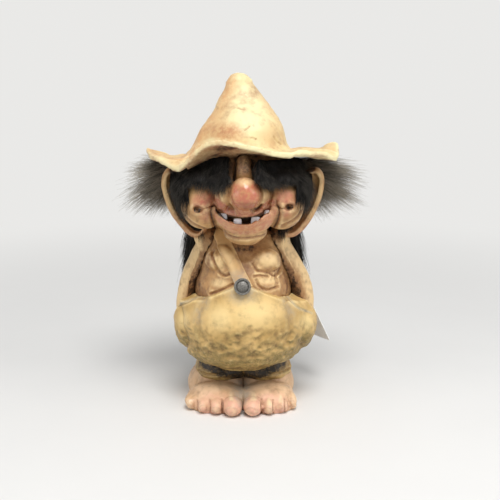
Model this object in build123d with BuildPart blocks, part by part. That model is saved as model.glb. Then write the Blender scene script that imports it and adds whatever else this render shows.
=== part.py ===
from build123d import *
import math
import os

# A troll figure of painted castings that are glued together, with fur hair, glass eyes and a paper tag.
# Millimetres, +Z up. The origin is on the floor under the middle of the figure, which faces -Y, so that
# its own left hand is on the +X side.

os.makedirs("parts", exist_ok=True)

# Shared clearances
glue_gap = 0.2  # between two pieces that are glued or pressed together

# Head
head_width = 59.0
head_depth = 54.0
head_height = 54.0
head_middle = 121.0  # height of the head's middle above the floor
cheek_size = (24.0, 22.0, 27.0)  # width, depth and height, as for every lump below
cheek_shares = (0.69, 0.70, -0.30)  # across, forward and up, as shares of the head's half sizes
muzzle_size = (33.0, 23.0, 20.0)
muzzle_shares = (0.03, 0.87, -0.48)
chin_size = (23.0, 19.0, 14.0)
chin_shares = (0.04, 0.80, -0.76)
bridge_size = (10.0, 14.0, 20.0)
bridge_shares = (0.02, 0.92, 0.30)
nose_size = (16.2, 15.5, 18.4)
nose_shares = (0.04, 1.36, -0.05)
nostril_wing_size = (9.6, 13.0, 10.6)
nostril_wing_shares = (0.31, 1.14, -0.09)
nostril_size = (3.4, 5.0, 2.4)
nostril_shares = (0.20, 1.36, -0.27)
dimple_size = (3.6, 6.0, 2.6)
dimple_shares = (0.80, 1.13, -0.30)

# Mouth: a smile-shaped slot with four small teeth
mouth_width = 31.0
mouth_corner_height = 114.8
upper_lip_sag = 4.4
lower_lip_sag = 9.0
mouth_depth = 9.0
tooth_size = (3.6, 3.0, 4.2)
tooth_edge = 0.7
tooth_across_shares = (-0.74, -0.34, 0.38, 0.76)  # of half the mouth's width
tooth_recess = 2.8  # from the front of the lips back to the middle of the teeth
tooth_seat_share = 0.3  # of the tooth's height that sits in the lower lip

# Eyes
eye_diameter = 8.0
eye_shares = (0.40, 0.83, 0.37)

# Ears: open bowls that face forward
ear_size = (19.0, 13.0, 42.0)
ear_shares = (1.06, 0.15, -0.37)
ear_lean = 25.0  # degrees that the top leans outward
ear_wall = 3.2
ear_rim_forward = 3.0  # of the rim, from the middle of the ear

# Torso: level oval sections, from inside the trousers up into the head
torso_width = 53.0
torso_depth = 55.0
torso_foot = 56.0
torso_height = 41.0
# Each row: height, width, depth and forward shift, as shares of the torso's sizes
torso_section_shares = (
    (0.00, 0.94, 0.96, 0.02),
    (0.20, 1.00, 1.00, 0.03),
    (0.40, 0.92, 0.90, 0.03),
    (0.60, 0.83, 0.76, 0.01),
    (0.78, 0.78, 0.63, -0.02),
    (0.92, 0.62, 0.52, -0.04),
    (1.00, 0.46, 0.42, -0.05),
)
breast_size = (16.0, 10.0, 13.0)
breast_shares = (0.46, 0.58, 0.63)  # across and forward of the half sizes, up of the height

# Trousers: a balloon seat with a fist-shaped bulge in each pocket
trousers_width = 77.0
trousers_depth = 71.0
trousers_foot = 22.0
trousers_height = 51.0
trousers_section_shares = (
    (0.00, 0.46, 0.44, 0.10),
    (0.07, 0.68, 0.68, 0.06),
    (0.20, 0.88, 0.89, 0.03),
    (0.40, 0.98, 0.99, 0.02),
    (0.58, 1.00, 1.00, 0.02),
    (0.76, 0.91, 0.94, 0.02),
    (0.90, 0.79, 0.85, 0.03),
    (1.00, 0.71, 0.80, 0.03),
)
pocket_size = (20.0, 30.0, 29.0)
pocket_shares = (0.80, 0.16, 0.45)
waist_drop = 9.5  # how far the waist falls from its peak to the hips
hip_across = 20.0
pocket_drop = 17.0  # how far the pocket's mouth lies below the peak
pocket_across = 42.0

# Arms: round sections from the shoulder down into the pocket
arm_shoulder_diameter = 17.0
arm_wrist_diameter = 11.4
shoulder_ball_share = 1.06  # of the arm's own diameter there
shoulder_shares = (0.72, -0.02, 0.78)  # of the torso's half sizes and height
# Each row: across, forward and up, as shares of the way from the shoulder to the pocket
arm_path_shares = (
    (0.00, 0.00, 0.00),
    (0.42, 0.04, 0.33),
    (0.80, 0.32, 0.66),
    (0.98, 0.80, 1.00),
    (0.88, 1.10, 1.26),
)
arm_reach = 15.5  # from the shoulder out to the pocket
arm_forward = 4.0
arm_drop = 33.0

# Trouser legs
leg_width = 27.0
leg_depth = 30.0
leg_across = 13.6
leg_back = 1.0
leg_foot = 12.5
leg_height = 20.0
leg_section_shares = (
    (0.00, 0.86, 0.84),
    (0.12, 0.97, 0.96),
    (0.30, 0.98, 0.98),
    (0.45, 0.92, 0.92),
    (0.70, 1.04, 1.02),
    (1.00, 1.10, 1.06),
)
hem_size = (24.0, 26.0, 9.0)

# Feet
foot_across = 14.6
ball_size = (29.5, 28.0, 19.0)
ball_forward = 16.0
ball_lift = 3.6
heel_size = (27.0, 34.0, 34.0)
heel_back = 3.0
heel_lift = 4.6
ankle_diameter = 12.0
ankle_height = 19.0
big_toe_size = (10.6, 14.0, 10.0)
small_toe_size = (8.2, 16.0, 9.4)
toe_lift_share = 0.46  # of the toe's height
# Each row: across and forward, as shares of the ball's half width and of the whole toe line
toe_place_shares = ((-0.62, 1.00), (-0.07, 0.88), (0.36, 0.79), (0.76, 0.63))
toe_line = 29.0
toe_fan = 9.0  # degrees that each toe turns from the next

# Sole pad, let into both feet from below
pad_width = 44.0
pad_depth = 34.0
pad_thickness = 1.2
pad_corner = 9.0
pad_forward = 7.0

# Neck peg, turned from wood
peg_diameter = 9.0
peg_length = 26.0
peg_foot = 82.0

# Shoulder strap, from the waist in front over the figure's right shoulder to the waist behind
strap_width = 7.6
strap_thickness = 1.7
strap_waist_across = 2.6  # of its foot, towards the figure's left
strap_waist_height = 68.0
strap_shoulder_across = 13.5
strap_shoulder_height = 97.0

# Button, a rimmed stud with a pin
button_diameter = 8.7
button_rim = 1.0
button_thickness = 2.4
button_recess = 0.9
button_dome = 2.5
button_pin_diameter = 1.6
button_pin_length = 7.0
button_height = 71.4
button_forward_share = 0.9  # of the seat's half depth
button_tilt = 18.0  # degrees that its face looks up

# Hat
hat_width = 104.0
hat_depth = 80.0
hat_back = 2.0
brim_height = 138.5  # of its top surface, where it meets the crown
brim_thickness = 3.2
brim_band_share = 0.46  # of the way to the rim, where the waves begin
brim_wave_power = 1.4
brim_corner_share = 1.2  # of the ramp to the rim, past which the waves grow no more
brim_across_steps = 27
brim_along_steps = 23
# Each row: angle from the front towards the figure's left, lift of the rim, and spread in degrees
brim_waves = (
    (-41.5, -10.5, 10.0),
    (-15.0, 9.7, 17.0),
    (71.0, -7.5, 11.5),
    (100.5, 4.5, 13.5),
    (180.0, -6.0, 32.0),
    (-115.0, -8.5, 26.0),
    (-92.5, 7.6, 10.5),
)
crown_width = 55.0
crown_depth = 54.0
crown_height = 35.5
crown_section_shares = (
    (0.00, 1.00, 1.00, -0.02, 0.00),
    (0.20, 0.90, 0.92, -0.02, 0.01),
    (0.34, 0.83, 0.86, -0.01, 0.00),
    (0.47, 0.74, 0.78, 0.00, -0.01),
    (0.58, 0.62, 0.66, 0.00, -0.03),
    (0.68, 0.51, 0.55, -0.01, -0.05),
    (0.80, 0.40, 0.43, -0.02, -0.08),
    (0.90, 0.31, 0.34, -0.02, -0.10),
    (1.00, 0.23, 0.25, -0.03, -0.12),
)
crown_tip_size = (12.6, 12.8, 12.0)

# Fur
fringe_thickness = 4.6
fringe_top = 143.0
fringe_bottom = 122.0
fringe_parting = 11.5  # width of the gap over the nose
fringe_outer = 39.0
side_lock_inner = 30.6
side_lock_bottom = 99.0
side_hair_size = (50.0, 21.0, 31.0)
side_hair_shares = (1.40, -0.46, 0.02)
side_hair_dip = 8.0  # degrees that its end points down
back_hair_width = 72.0
back_hair_depth = 66.0
back_hair_top = 136.0
back_hair_height = 75.0
# Each row: drop, width, depth and shift to the back, as shares of the back hair's sizes
back_hair_section_shares = (
    (0.00, 0.78, 0.82, 0.02),
    (0.24, 0.94, 0.94, 0.03),
    (0.50, 0.92, 0.84, 0.07),
    (0.68, 0.96, 0.74, 0.12),
    (0.86, 0.98, 0.66, 0.16),
    (1.00, 0.84, 0.50, 0.20),
)
back_hair_front = 6.0  # it lies wholly behind this plane, on the back half

# Tail
tail_root_diameter = 7.0
tail_end_diameter = 3.4
tail_root_height = 40.0
# Each row: across, back and up, as shares of the seat's half depth and the root's height
tail_path_shares = (
    (0.00, 0.86, 1.00),
    (0.02, 1.04, 0.88),
    (0.10, 1.16, 0.72),
    (0.22, 1.20, 0.56),
    (0.34, 1.16, 0.42),
)
tail_tuft_size = (9.0, 9.0, 20.0)
tail_tuft_lean = 24.0
tail_tuft_drop = 5.2

# Paper tag, a folded card that swings on a headed pin behind the figure's left hip
tag_width = 16.0
tag_height = 21.0
tag_leaf = 0.5
tag_opening = 6.0  # degrees between its two leaves
tag_hole_diameter = 2.8
tag_hole_inset = 3.0
tag_facing = 30.0  # degrees from the figure's left towards its back
tag_lean = 28.0  # degrees that its foot stands out
tag_hole_height = 46.0
tag_reach = 42.0  # from the figure's middle to the hole
tag_pin_diameter = 1.2
tag_pin_length = 12.0
tag_pin_head_diameter = 4.4
tag_pin_head_thickness = 0.8
tag_play = 0.5


def lump(size, place, turn=(0.0, 0.0, 0.0), grow=0.0):
    """An egg of a size (width, depth, height), turned and set at a place."""
    half_sizes = tuple(length / 2 + grow for length in size)
    ball = scale(Sphere(1, mode=Mode.PRIVATE), by=half_sizes, mode=Mode.PRIVATE)
    return ball.moved(Location(place, turn))


def stack(foot, height, width, depth, section_shares, grow=0.0):
    """A form lofted through level ovals. Each row holds the height, width and depth as shares of the
    form's sizes, and may hold a shift across and forward as shares of its width and depth."""
    last = len(section_shares) - 1
    with BuildPart() as form:
        for index, (up, across, along, *shifts) in enumerate(section_shares):
            right, forward = (0.0, 0.0, *shifts)[-2:]
            end = grow * ((index == last) - (index == 0))
            with BuildSketch(Plane.XY.offset(foot + up * height + end)):
                with Locations((right * width, -forward * depth)):
                    Ellipse(across * width / 2 + grow, along * depth / 2 + grow)
        loft()
    return form.part


def limb(points, diameters, grow=0.0):
    """A round tapering form lofted along points."""
    with BuildPart() as form:
        for index, (point, diameter) in enumerate(zip(points, diameters)):
            before = points[max(index - 1, 0)]
            after = points[min(index + 1, len(points) - 1)]
            with BuildSketch(Plane(origin=point, x_dir=(0, 1, 0), z_dir=after - before)):
                Circle(diameter / 2 + grow)
        loft()
    return form.part


def on_head(shares, side=1):
    """A point of the head, from shares of its half sizes across, forward and up."""
    across, forward, up = shares
    return Vector(
        side * across * head_width / 2,
        -forward * head_depth / 2,
        head_middle + up * head_height / 2,
    )


def skull_form(grow=0.0):
    """The round of the head without its face."""
    return lump((head_width, head_depth, head_height), on_head((0, 0, 0)), grow=grow)


def head_form(grow=0.0):
    """The head with its cheeks, nose, lips and chin, before the mouth is cut."""
    with BuildPart() as form:
        add(skull_form(grow))
        add(lump(muzzle_size, on_head(muzzle_shares), grow=grow))
        add(lump(chin_size, on_head(chin_shares), grow=grow))
        add(lump(bridge_size, on_head(bridge_shares), grow=grow))
        for side in (-1, 1):
            add(lump(cheek_size, on_head(cheek_shares, side), grow=grow))
            add(lump(nostril_wing_size, on_head(nostril_wing_shares, side), grow=grow))
        add(lump(nose_size, on_head(nose_shares), grow=grow))
    return form.part


def eye_form(side, grow=0.0):
    """One round glass eye."""
    return lump((eye_diameter,) * 3, on_head(eye_shares, side), grow=grow)


def ear_form(side, grow=0.0):
    """One ear: a leaning bowl that opens to the front."""
    place = on_head(ear_shares, side)
    turn = (0, side * ear_lean, 0)
    width, depth, height = ear_size
    rim = place - Vector(0, ear_rim_forward, 0)
    bowl_size = (
        width - 2 * ear_wall,
        depth + 2 * (ear_rim_forward - ear_wall),
        height - 2 * ear_wall,
    )
    with BuildPart() as form:
        add(lump(ear_size, place, turn, grow))
        add(lump(bowl_size, rim, turn, -grow), mode=Mode.SUBTRACT)
        with Locations(rim):
            front = (Align.CENTER, Align.MAX, Align.CENTER)
            Box(2 * height, 2 * depth, 2 * height, align=front, mode=Mode.SUBTRACT)
    return form.part


def torso_form(grow=0.0):
    """The bare trunk with its two slack breasts."""
    with BuildPart() as form:
        add(stack(torso_foot, torso_height, torso_width, torso_depth, torso_section_shares, grow))
        across, forward, up = breast_shares
        for side in (-1, 1):
            place = Vector(
                side * across * torso_width / 2,
                -forward * torso_depth / 2,
                torso_foot + up * torso_height,
            )
            add(lump(breast_size, place, grow=grow))
    return form.part


def trousers_form(grow=0.0):
    """The balloon trousers with a full pocket on each side and a waist that peaks at the button."""
    top = trousers_foot + trousers_height
    half_width = trousers_width / 2
    half_depth = trousers_depth / 2
    across, forward, up = pocket_shares
    with BuildPart() as form:
        add(
            stack(
                trousers_foot,
                trousers_height,
                trousers_width,
                trousers_depth,
                trousers_section_shares,
                grow,
            )
        )
        for side in (-1, 1):
            place = Vector(
                side * across * half_width,
                -forward * half_depth,
                trousers_foot + up * trousers_height,
            )
            add(lump(pocket_size, place, grow=grow))
        for side in (-1, 1):
            with BuildSketch(Plane.XZ):
                with BuildLine():
                    Polyline(
                        (0, top + grow),
                        (side * hip_across, top - waist_drop + grow),
                        (side * pocket_across, top - pocket_drop + grow),
                        (side * trousers_width, top - pocket_drop + grow),
                        (side * trousers_width, top + waist_drop),
                        (0, top + waist_drop),
                        close=True,
                    )
                make_face()
            extrude(amount=trousers_depth, both=True, mode=Mode.SUBTRACT)
    return form.part


def arm_form(side, grow=0.0):
    """One arm, from the shoulder down into the pocket."""
    across, forward, up = shoulder_shares
    shoulder = Vector(
        side * across * torso_width / 2,
        -forward * torso_depth / 2,
        torso_foot + up * torso_height,
    )
    points = [
        shoulder + Vector(side * out * arm_reach, -ahead * arm_forward, -down * arm_drop)
        for out, ahead, down in arm_path_shares
    ]
    last = len(points) - 1
    diameters = [
        arm_shoulder_diameter + (arm_wrist_diameter - arm_shoulder_diameter) * index / last
        for index in range(last + 1)
    ]
    with BuildPart() as form:
        add(limb(points, diameters, grow))
        add(lump((shoulder_ball_share * arm_shoulder_diameter,) * 3, shoulder, grow=grow))
    return form.part


def own_side(side):
    """The plane that a piece of a pair keeps to one side of, half a glue gap off the middle."""
    return Plane(origin=(side * glue_gap / 2, 0, 0), x_dir=(0, side, 0), z_dir=(side, 0, 0))


def leg_form(side, grow=0.0):
    """One short trouser leg with a rolled hem."""
    with BuildPart() as form:
        add(stack(leg_foot, leg_height, leg_width, leg_depth, leg_section_shares, grow))
        add(lump(hem_size, (0, 0, leg_foot + hem_size[2] / 2), grow=grow))
    return form.part.moved(Location((side * leg_across, leg_back, 0)))


def foot_form(side, grow=0.0):
    """One broad bare foot with four toes, flat underneath."""
    half_ball = ball_size[0] / 2
    with BuildPart() as form:
        add(lump(heel_size, (side * foot_across, heel_back, heel_lift), grow=grow))
        add(lump(ball_size, (side * foot_across, -ball_forward, ball_lift), grow=grow))
        for index, (across, forward) in enumerate(toe_place_shares):
            size = big_toe_size if index == 0 else small_toe_size
            place = (
                side * (foot_across + across * half_ball),
                -forward * toe_line,
                toe_lift_share * size[2],
            )
            add(lump(size, place, (0, 0, side * index * toe_fan), grow))
        split(bisect_by=Plane.XY, keep=Keep.TOP)
    return form.part


def brim_point(across, along):
    """The brim's top surface over a point given as shares of its half width and half depth."""
    reach = math.hypot(across, along)
    ramp = max(reach - brim_band_share, 0.0) / (1 - brim_band_share)
    angle = math.degrees(math.atan2(across, -along))
    lift = 0.0
    for centre, height, spread in brim_waves:
        away = (angle - centre + 180) % 360 - 180
        lift += height * math.exp(-((away / spread) ** 2) / 2)
    height = brim_height + lift * min(ramp, brim_corner_share) ** brim_wave_power
    return Vector(across * hat_width / 2, hat_back + along * hat_depth / 2, height)


def brim_block(low, high):
    """The waved space between two heights over the brim's top surface, square in plan."""
    beyond = 1.0 + 4 * glue_gap / hat_depth
    rows = [
        [
            brim_point(
                beyond * (2 * column / brim_across_steps - 1),
                beyond * (2 * row / brim_along_steps - 1),
            )
            + Vector(0, 0, low)
            for column in range(brim_across_steps + 1)
        ]
        for row in range(brim_along_steps + 1)
    ]
    sheet = Face.make_surface_from_array_of_points(rows, tol=glue_gap / 2, min_deg=3)
    return Solid.extrude(sheet, Vector(0, 0, high - low))


def hat_form():
    """The pointed hat: a waved brim and a tall crown, solid before the head's socket is cut."""
    with BuildPart() as form:
        with BuildSketch(Plane.XY.offset(brim_height - crown_height)):
            with Locations((0, hat_back)):
                Ellipse(hat_width / 2, hat_depth / 2)
        extrude(amount=2 * crown_height)
        add(brim_block(-2 * crown_height, 0.0), mode=Mode.INTERSECT)
        add(
            stack(
                brim_height - brim_thickness,
                crown_height + brim_thickness,
                crown_width,
                crown_depth,
                crown_section_shares,
            )
        )
        *_, across, forward = crown_section_shares[-1]
        tip = (across * crown_width, -forward * crown_depth, brim_height + crown_height)
        add(lump(crown_tip_size, tip))
        add(brim_block(-brim_thickness, 2 * crown_height), mode=Mode.INTERSECT)
    return form.part


def strap_form(grow=0.0):
    """The strap: a skin of even thickness over the trunk, cut to a band that crosses it."""
    low = Vector(strap_waist_across, 0, strap_waist_height)
    high = Vector(-strap_shoulder_across, 0, strap_shoulder_height)
    along = high - low
    with BuildPart() as band:
        with BuildSketch(Plane(origin=(low + high) / 2, x_dir=along, z_dir=(0, -1, 0))):
            Rectangle(along.length + strap_width, strap_width + 2 * grow)
        extrude(amount=torso_depth, both=True)
    with BuildPart() as strap:
        add(torso_form(glue_gap + strap_thickness + grow))
        add(band.part, mode=Mode.INTERSECT)
        add(torso_form(glue_gap - grow), mode=Mode.SUBTRACT)
    return strap.part


def fringe_form(side, pelt):
    """The hair over one eye, with a lock down the front of the ear, cut from the pelt's own form."""
    with BuildPart() as form:
        with BuildSketch(Plane.XZ):
            with BuildLine():
                Polyline(
                    (side * fringe_parting / 2, fringe_top),
                    (side * fringe_parting / 2, fringe_bottom + fringe_thickness),
                    (side * (fringe_parting / 2 + fringe_thickness), fringe_bottom),
                    (side * side_lock_inner, fringe_bottom),
                    (side * side_lock_inner, side_lock_bottom),
                    (side * (side_lock_inner + fringe_thickness), side_lock_bottom),
                    (side * fringe_outer, fringe_bottom),
                    (side * fringe_outer, fringe_top),
                    close=True,
                )
            make_face()
        extrude(amount=head_depth)
        add(pelt, mode=Mode.INTERSECT)
    return form.part


def side_hair_form(side, grow=0.0):
    """The hair that stands out over one ear."""
    place = on_head(side_hair_shares, side)
    return lump(side_hair_size, place, (0, side * side_hair_dip, 0), grow)


def back_hair_form():
    """The pelt down the back, as a closed form before what it lies on is cut away."""
    sections = [
        (1 - drop, width, depth, 0.0, -back) for drop, width, depth, back in back_hair_section_shares
    ]
    with BuildPart() as form:
        add(
            stack(
                back_hair_top - back_hair_height,
                back_hair_height,
                back_hair_width,
                back_hair_depth,
                sections[::-1],
            )
        )
        split(bisect_by=Plane.XZ.offset(-back_hair_front), keep=Keep.BOTTOM)
    return form.part


def tail_points():
    """The tail's centreline, from inside the seat down towards the floor."""
    half_depth = trousers_depth / 2
    return [
        Vector(across * half_depth, back * half_depth, up * tail_root_height)
        for across, back, up in tail_path_shares
    ]


def tail_form(grow=0.0):
    """The bare tail."""
    points = tail_points()
    last = len(points) - 1
    diameters = [
        tail_root_diameter + (tail_end_diameter - tail_root_diameter) * index / last
        for index in range(last + 1)
    ]
    return limb(points, diameters, grow)


def peg_form(grow=0.0):
    """The peg that holds the head on the trunk."""
    with BuildPart() as form:
        with Locations((0, 0, peg_foot - grow)):
            bottom = (Align.CENTER, Align.CENTER, Align.MIN)
            Cylinder(peg_diameter / 2 + grow, peg_length + 2 * grow, align=bottom)
    return form.part


def pad_form(grow=0.0):
    """The pad under both feet."""
    with BuildPart() as form:
        with BuildSketch():
            with Locations((0, -pad_forward)):
                RectangleRounded(pad_width + 2 * grow, pad_depth + 2 * grow, pad_corner + grow)
        extrude(amount=pad_thickness + grow)
    return form.part


def mouth_form():
    """The smile-shaped slot between the lips."""
    half = mouth_width / 2
    corner = mouth_corner_height
    front = on_head(muzzle_shares).Y - muzzle_size[1] / 2
    with BuildPart() as form:
        with BuildSketch(Plane.XZ.offset(-front - mouth_depth)):
            with BuildLine():
                ThreePointArc((-half, corner), (0, corner - upper_lip_sag), (half, corner))
                ThreePointArc((half, corner), (0, corner - lower_lip_sag), (-half, corner))
            make_face()
        extrude(amount=head_depth)
    return form.part


def teeth_form(grow=0.0):
    """Four teeth that stand in the lower lip and follow its bow."""
    middle = on_head(muzzle_shares)
    half_width = muzzle_size[0] / 2
    half_depth = muzzle_size[1] / 2
    width, depth, height = (length + 2 * grow for length in tooth_size)
    with BuildPart() as form:
        for share in tooth_across_shares:
            across = share * mouth_width / 2
            lip = mouth_corner_height - lower_lip_sag * (1 - share**2)
            front = middle.Y - half_depth * math.sqrt(1 - ((across - middle.X) / half_width) ** 2)
            with Locations(
                (across, front + tooth_recess, lip + (0.5 - tooth_seat_share) * tooth_size[2])
            ):
                Box(width, depth, height)
        fillet(form.edges(), tooth_edge)
    return form.part


def button_plane():
    """The plane of the button's profile: its axis is the plane's own Y."""
    tilt = math.radians(button_tilt)
    origin = (0, -button_forward_share * trousers_depth / 2, button_height)
    return Plane(origin=origin, x_dir=(1, 0, 0), z_dir=(0, -math.sin(tilt), -math.cos(tilt)))


def button_seat():
    """The flat seat behind the button and the hole for its pin, as a cutting shape."""
    plane = button_plane()
    seat = Plane(origin=plane.origin, x_dir=plane.x_dir, z_dir=plane.y_dir)
    with BuildPart() as form:
        with BuildSketch(seat.offset(-glue_gap)):
            Circle(button_diameter / 2 + glue_gap)
        extrude(amount=button_diameter)
        with BuildSketch(seat):
            Circle(button_pin_diameter / 2 + glue_gap)
        extrude(amount=-button_pin_length - glue_gap)
    return form.part


def tag_plane():
    """The tag's own plane: the origin is on the pin, Y runs up the card and Z looks out."""
    facing = math.radians(tag_facing)
    lean = math.radians(tag_lean)
    out = Vector(math.cos(facing), math.sin(facing), 0)
    along = Vector(-math.sin(facing), math.cos(facing), 0)
    return Plane(
        origin=out * tag_reach + Vector(0, 0, tag_hole_height),
        x_dir=along,
        z_dir=out * math.cos(lean) + Vector(0, 0, math.sin(lean)),
    )


def tag_pin_form(grow=0.0):
    """The pin's shank, from its head through the card into the trousers."""
    plane = tag_plane()
    with BuildPart() as form:
        with BuildSketch(plane.offset(tag_stand())):
            Circle(tag_pin_diameter / 2 + grow)
        extrude(amount=-tag_pin_length - grow)
    return form.part


def tag_stand():
    """How far the pin's head stands off the middle of the folded card."""
    spread = tag_width / 2 * math.sin(math.radians(tag_opening) / 2)
    return spread + tag_leaf / 2 + tag_play


def save(piece, name):
    """Labels a finished piece and writes its file."""
    piece.part.label = name
    export_step(piece.part, f"parts/{name}.step")


# Neighbours grown by the glue gap, to cut the seats of what lies against them
head_cut = head_form(glue_gap)
skull_cut = skull_form(glue_gap)
brim_cut = brim_block(-brim_thickness - glue_gap, crown_height)
torso_cut = torso_form(glue_gap)
trousers_cut = trousers_form(glue_gap)
tail_cut = tail_form(glue_gap)
pad_cut = pad_form(glue_gap)
peg_cut = peg_form(glue_gap)
button_cut = button_seat()
eye_cuts = {side: eye_form(side, glue_gap) for side in (-1, 1)}
ear_cuts = {side: ear_form(side, glue_gap) for side in (-1, 1)}
arm_cuts = {side: arm_form(side, glue_gap) for side in (-1, 1)}
side_hair_cuts = {side: side_hair_form(side, glue_gap) for side in (-1, 1)}
fringe_pelt = head_form(fringe_thickness)

# Head casting
with BuildPart() as head:
    add(head_form())
    add(mouth_form(), mode=Mode.SUBTRACT)
    add([teeth_form(glue_gap), peg_cut], mode=Mode.SUBTRACT)
    for side in (-1, 1):
        add(eye_cuts[side], mode=Mode.SUBTRACT)
        add(lump(nostril_size, on_head(nostril_shares, side)), mode=Mode.SUBTRACT)
        add(lump(dimple_size, on_head(dimple_shares, side)), mode=Mode.SUBTRACT)
save(head, "head")

# Teeth
with BuildPart() as teeth:
    add(teeth_form())
save(teeth, "teeth")

# Neck peg
with BuildPart() as neck_peg:
    add(peg_form())
save(neck_peg, "neck_peg")

# Hat casting
with BuildPart() as hat:
    add(hat_form())
    add(head_cut, mode=Mode.SUBTRACT)
save(hat, "hat")

# Trunk casting
with BuildPart() as torso:
    add(torso_form())
    add([head_cut, peg_cut, button_cut], mode=Mode.SUBTRACT)
save(torso, "torso")

# Trousers casting
with BuildPart() as trousers:
    add(trousers_form())
    add([torso_cut, arm_cuts[-1], arm_cuts[1], tail_cut], mode=Mode.SUBTRACT)
    add([button_cut, tag_pin_form(glue_gap)], mode=Mode.SUBTRACT)
save(trousers, "trousers")

# Strap
with BuildPart() as shoulder_strap:
    add(strap_form())
    add([head_cut, trousers_cut, arm_cuts[-1], button_cut], mode=Mode.SUBTRACT)
save(shoulder_strap, "shoulder_strap")

# Button
with BuildPart() as strap_button:
    radius = button_diameter / 2
    shelf = (radius - button_rim, button_thickness - button_recess)
    with BuildSketch(button_plane()):
        with BuildLine():
            Polyline(
                (0, button_dome),
                (0, -button_pin_length),
                (button_pin_diameter / 2, -button_pin_length),
                (button_pin_diameter / 2, 0),
                (radius, 0),
                (radius, button_thickness),
                (radius - button_rim, button_thickness),
                shelf,
            )
            TangentArc((0, button_dome), shelf, tangent=(1, 0))
        make_face()
    revolve(axis=Axis(button_plane().origin, button_plane().y_dir))
save(strap_button, "strap_button")

# Tail with its tuft
with BuildPart() as tail:
    add(tail_form())
save(tail, "tail")
with BuildPart() as tail_tuft:
    end = tail_points()[-1]
    drop = Vector(0, 0, tail_tuft_drop)
    add(lump(tail_tuft_size, end - drop, (0, tail_tuft_lean, 0)))
    add(tail_cut, mode=Mode.SUBTRACT)
save(tail_tuft, "tail_tuft")

# Sole pad
with BuildPart() as sole_pad:
    add(pad_form())
save(sole_pad, "sole_pad")

# Pin of the tag
with BuildPart() as tag_pin:
    add(tag_pin_form())
    with BuildSketch(tag_plane().offset(tag_stand())):
        Circle(tag_pin_head_diameter / 2)
    extrude(amount=tag_pin_head_thickness)
save(tag_pin, "tag_pin")

# Folded card, cut from one profile across its fold
with BuildPart() as hang_tag:
    card = tag_plane()
    top = card.origin + card.y_dir * tag_hole_inset
    fold = -tag_width / 2
    with BuildSketch(Plane(origin=top, x_dir=card.x_dir, z_dir=-card.y_dir)):
        with Locations((fold, 0)):
            Circle(tag_leaf / 2)
        for turn in (-1, 1):
            with Locations(Location((fold, 0), turn * tag_opening / 2)):
                Rectangle(tag_width, tag_leaf, align=(Align.MIN, Align.CENTER))
    extrude(amount=tag_height)
    with BuildSketch(card):
        Circle(tag_hole_diameter / 2)
    extrude(amount=tag_width / 2, both=True, mode=Mode.SUBTRACT)
save(hang_tag, "hang_tag")

# Pieces that come in pairs: side -1 is the figure's own right, side 1 its left
for side, hand in ((-1, "right"), (1, "left")):
    with BuildPart() as eye:
        add(eye_form(side))
    save(eye, f"{hand}_eye")

    with BuildPart() as ear:
        add(ear_form(side))
        add([head_cut, brim_cut, arm_cuts[side]], mode=Mode.SUBTRACT)
    save(ear, f"{hand}_ear")

    with BuildPart() as arm:
        add(arm_form(side))
        add(torso_cut, mode=Mode.SUBTRACT)
    save(arm, f"{hand}_arm")

    with BuildPart() as foot:
        add(foot_form(side))
        with Locations((side * foot_across, 0, 0)):
            bottom = (Align.CENTER, Align.CENTER, Align.MIN)
            Cylinder(ankle_diameter / 2, ankle_height, align=bottom)
        add(pad_cut, mode=Mode.SUBTRACT)
        split(bisect_by=own_side(side), keep=Keep.TOP)
    save(foot, f"{hand}_foot")

    with BuildPart() as trouser_leg:
        add(leg_form(side))
        with Locations((side * foot_across, 0, 0)):
            bottom = (Align.CENTER, Align.CENTER, Align.MIN)
            radius = ankle_diameter / 2 + glue_gap
            Cylinder(radius, ankle_height + glue_gap, align=bottom, mode=Mode.SUBTRACT)
        add([foot_form(side, glue_gap), trousers_cut], mode=Mode.SUBTRACT)
        split(bisect_by=own_side(side), keep=Keep.TOP)
    save(trouser_leg, f"{hand}_trouser_leg")

    with BuildPart() as fringe:
        add(fringe_form(side, fringe_pelt))
        add([head_cut, brim_cut, eye_cuts[side], ear_cuts[side]], mode=Mode.SUBTRACT)
    save(fringe, f"{hand}_fringe")

    with BuildPart() as side_hair:
        add(side_hair_form(side))
        add([skull_cut, brim_cut, ear_cuts[side]], mode=Mode.SUBTRACT)
    save(side_hair, f"{hand}_side_hair")

# Pelt down the back
with BuildPart() as back_hair:
    add(back_hair_form())
    add([skull_cut, brim_cut, torso_cut, trousers_cut, strap_form(glue_gap)], mode=Mode.SUBTRACT)
    for side in (-1, 1):
        add([ear_cuts[side], arm_cuts[side], side_hair_cuts[side]], mode=Mode.SUBTRACT)
save(back_hair, "back_hair")
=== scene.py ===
import math

import bmesh
import bpy
import numpy as np
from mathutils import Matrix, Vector


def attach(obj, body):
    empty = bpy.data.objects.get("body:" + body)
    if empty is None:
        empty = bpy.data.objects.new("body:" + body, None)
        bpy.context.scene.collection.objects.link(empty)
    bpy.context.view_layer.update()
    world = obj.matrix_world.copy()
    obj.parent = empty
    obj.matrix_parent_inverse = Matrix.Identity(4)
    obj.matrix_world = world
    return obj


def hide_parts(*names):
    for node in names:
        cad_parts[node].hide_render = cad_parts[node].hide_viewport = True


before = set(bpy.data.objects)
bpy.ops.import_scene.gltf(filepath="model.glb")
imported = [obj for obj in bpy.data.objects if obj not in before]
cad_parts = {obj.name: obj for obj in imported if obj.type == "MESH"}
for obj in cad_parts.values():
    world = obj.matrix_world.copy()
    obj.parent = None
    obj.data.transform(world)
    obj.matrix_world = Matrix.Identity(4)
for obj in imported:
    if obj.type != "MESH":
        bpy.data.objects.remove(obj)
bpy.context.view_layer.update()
mm = 0.001  # the brushes below work in millimetres, Blender in metres

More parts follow.
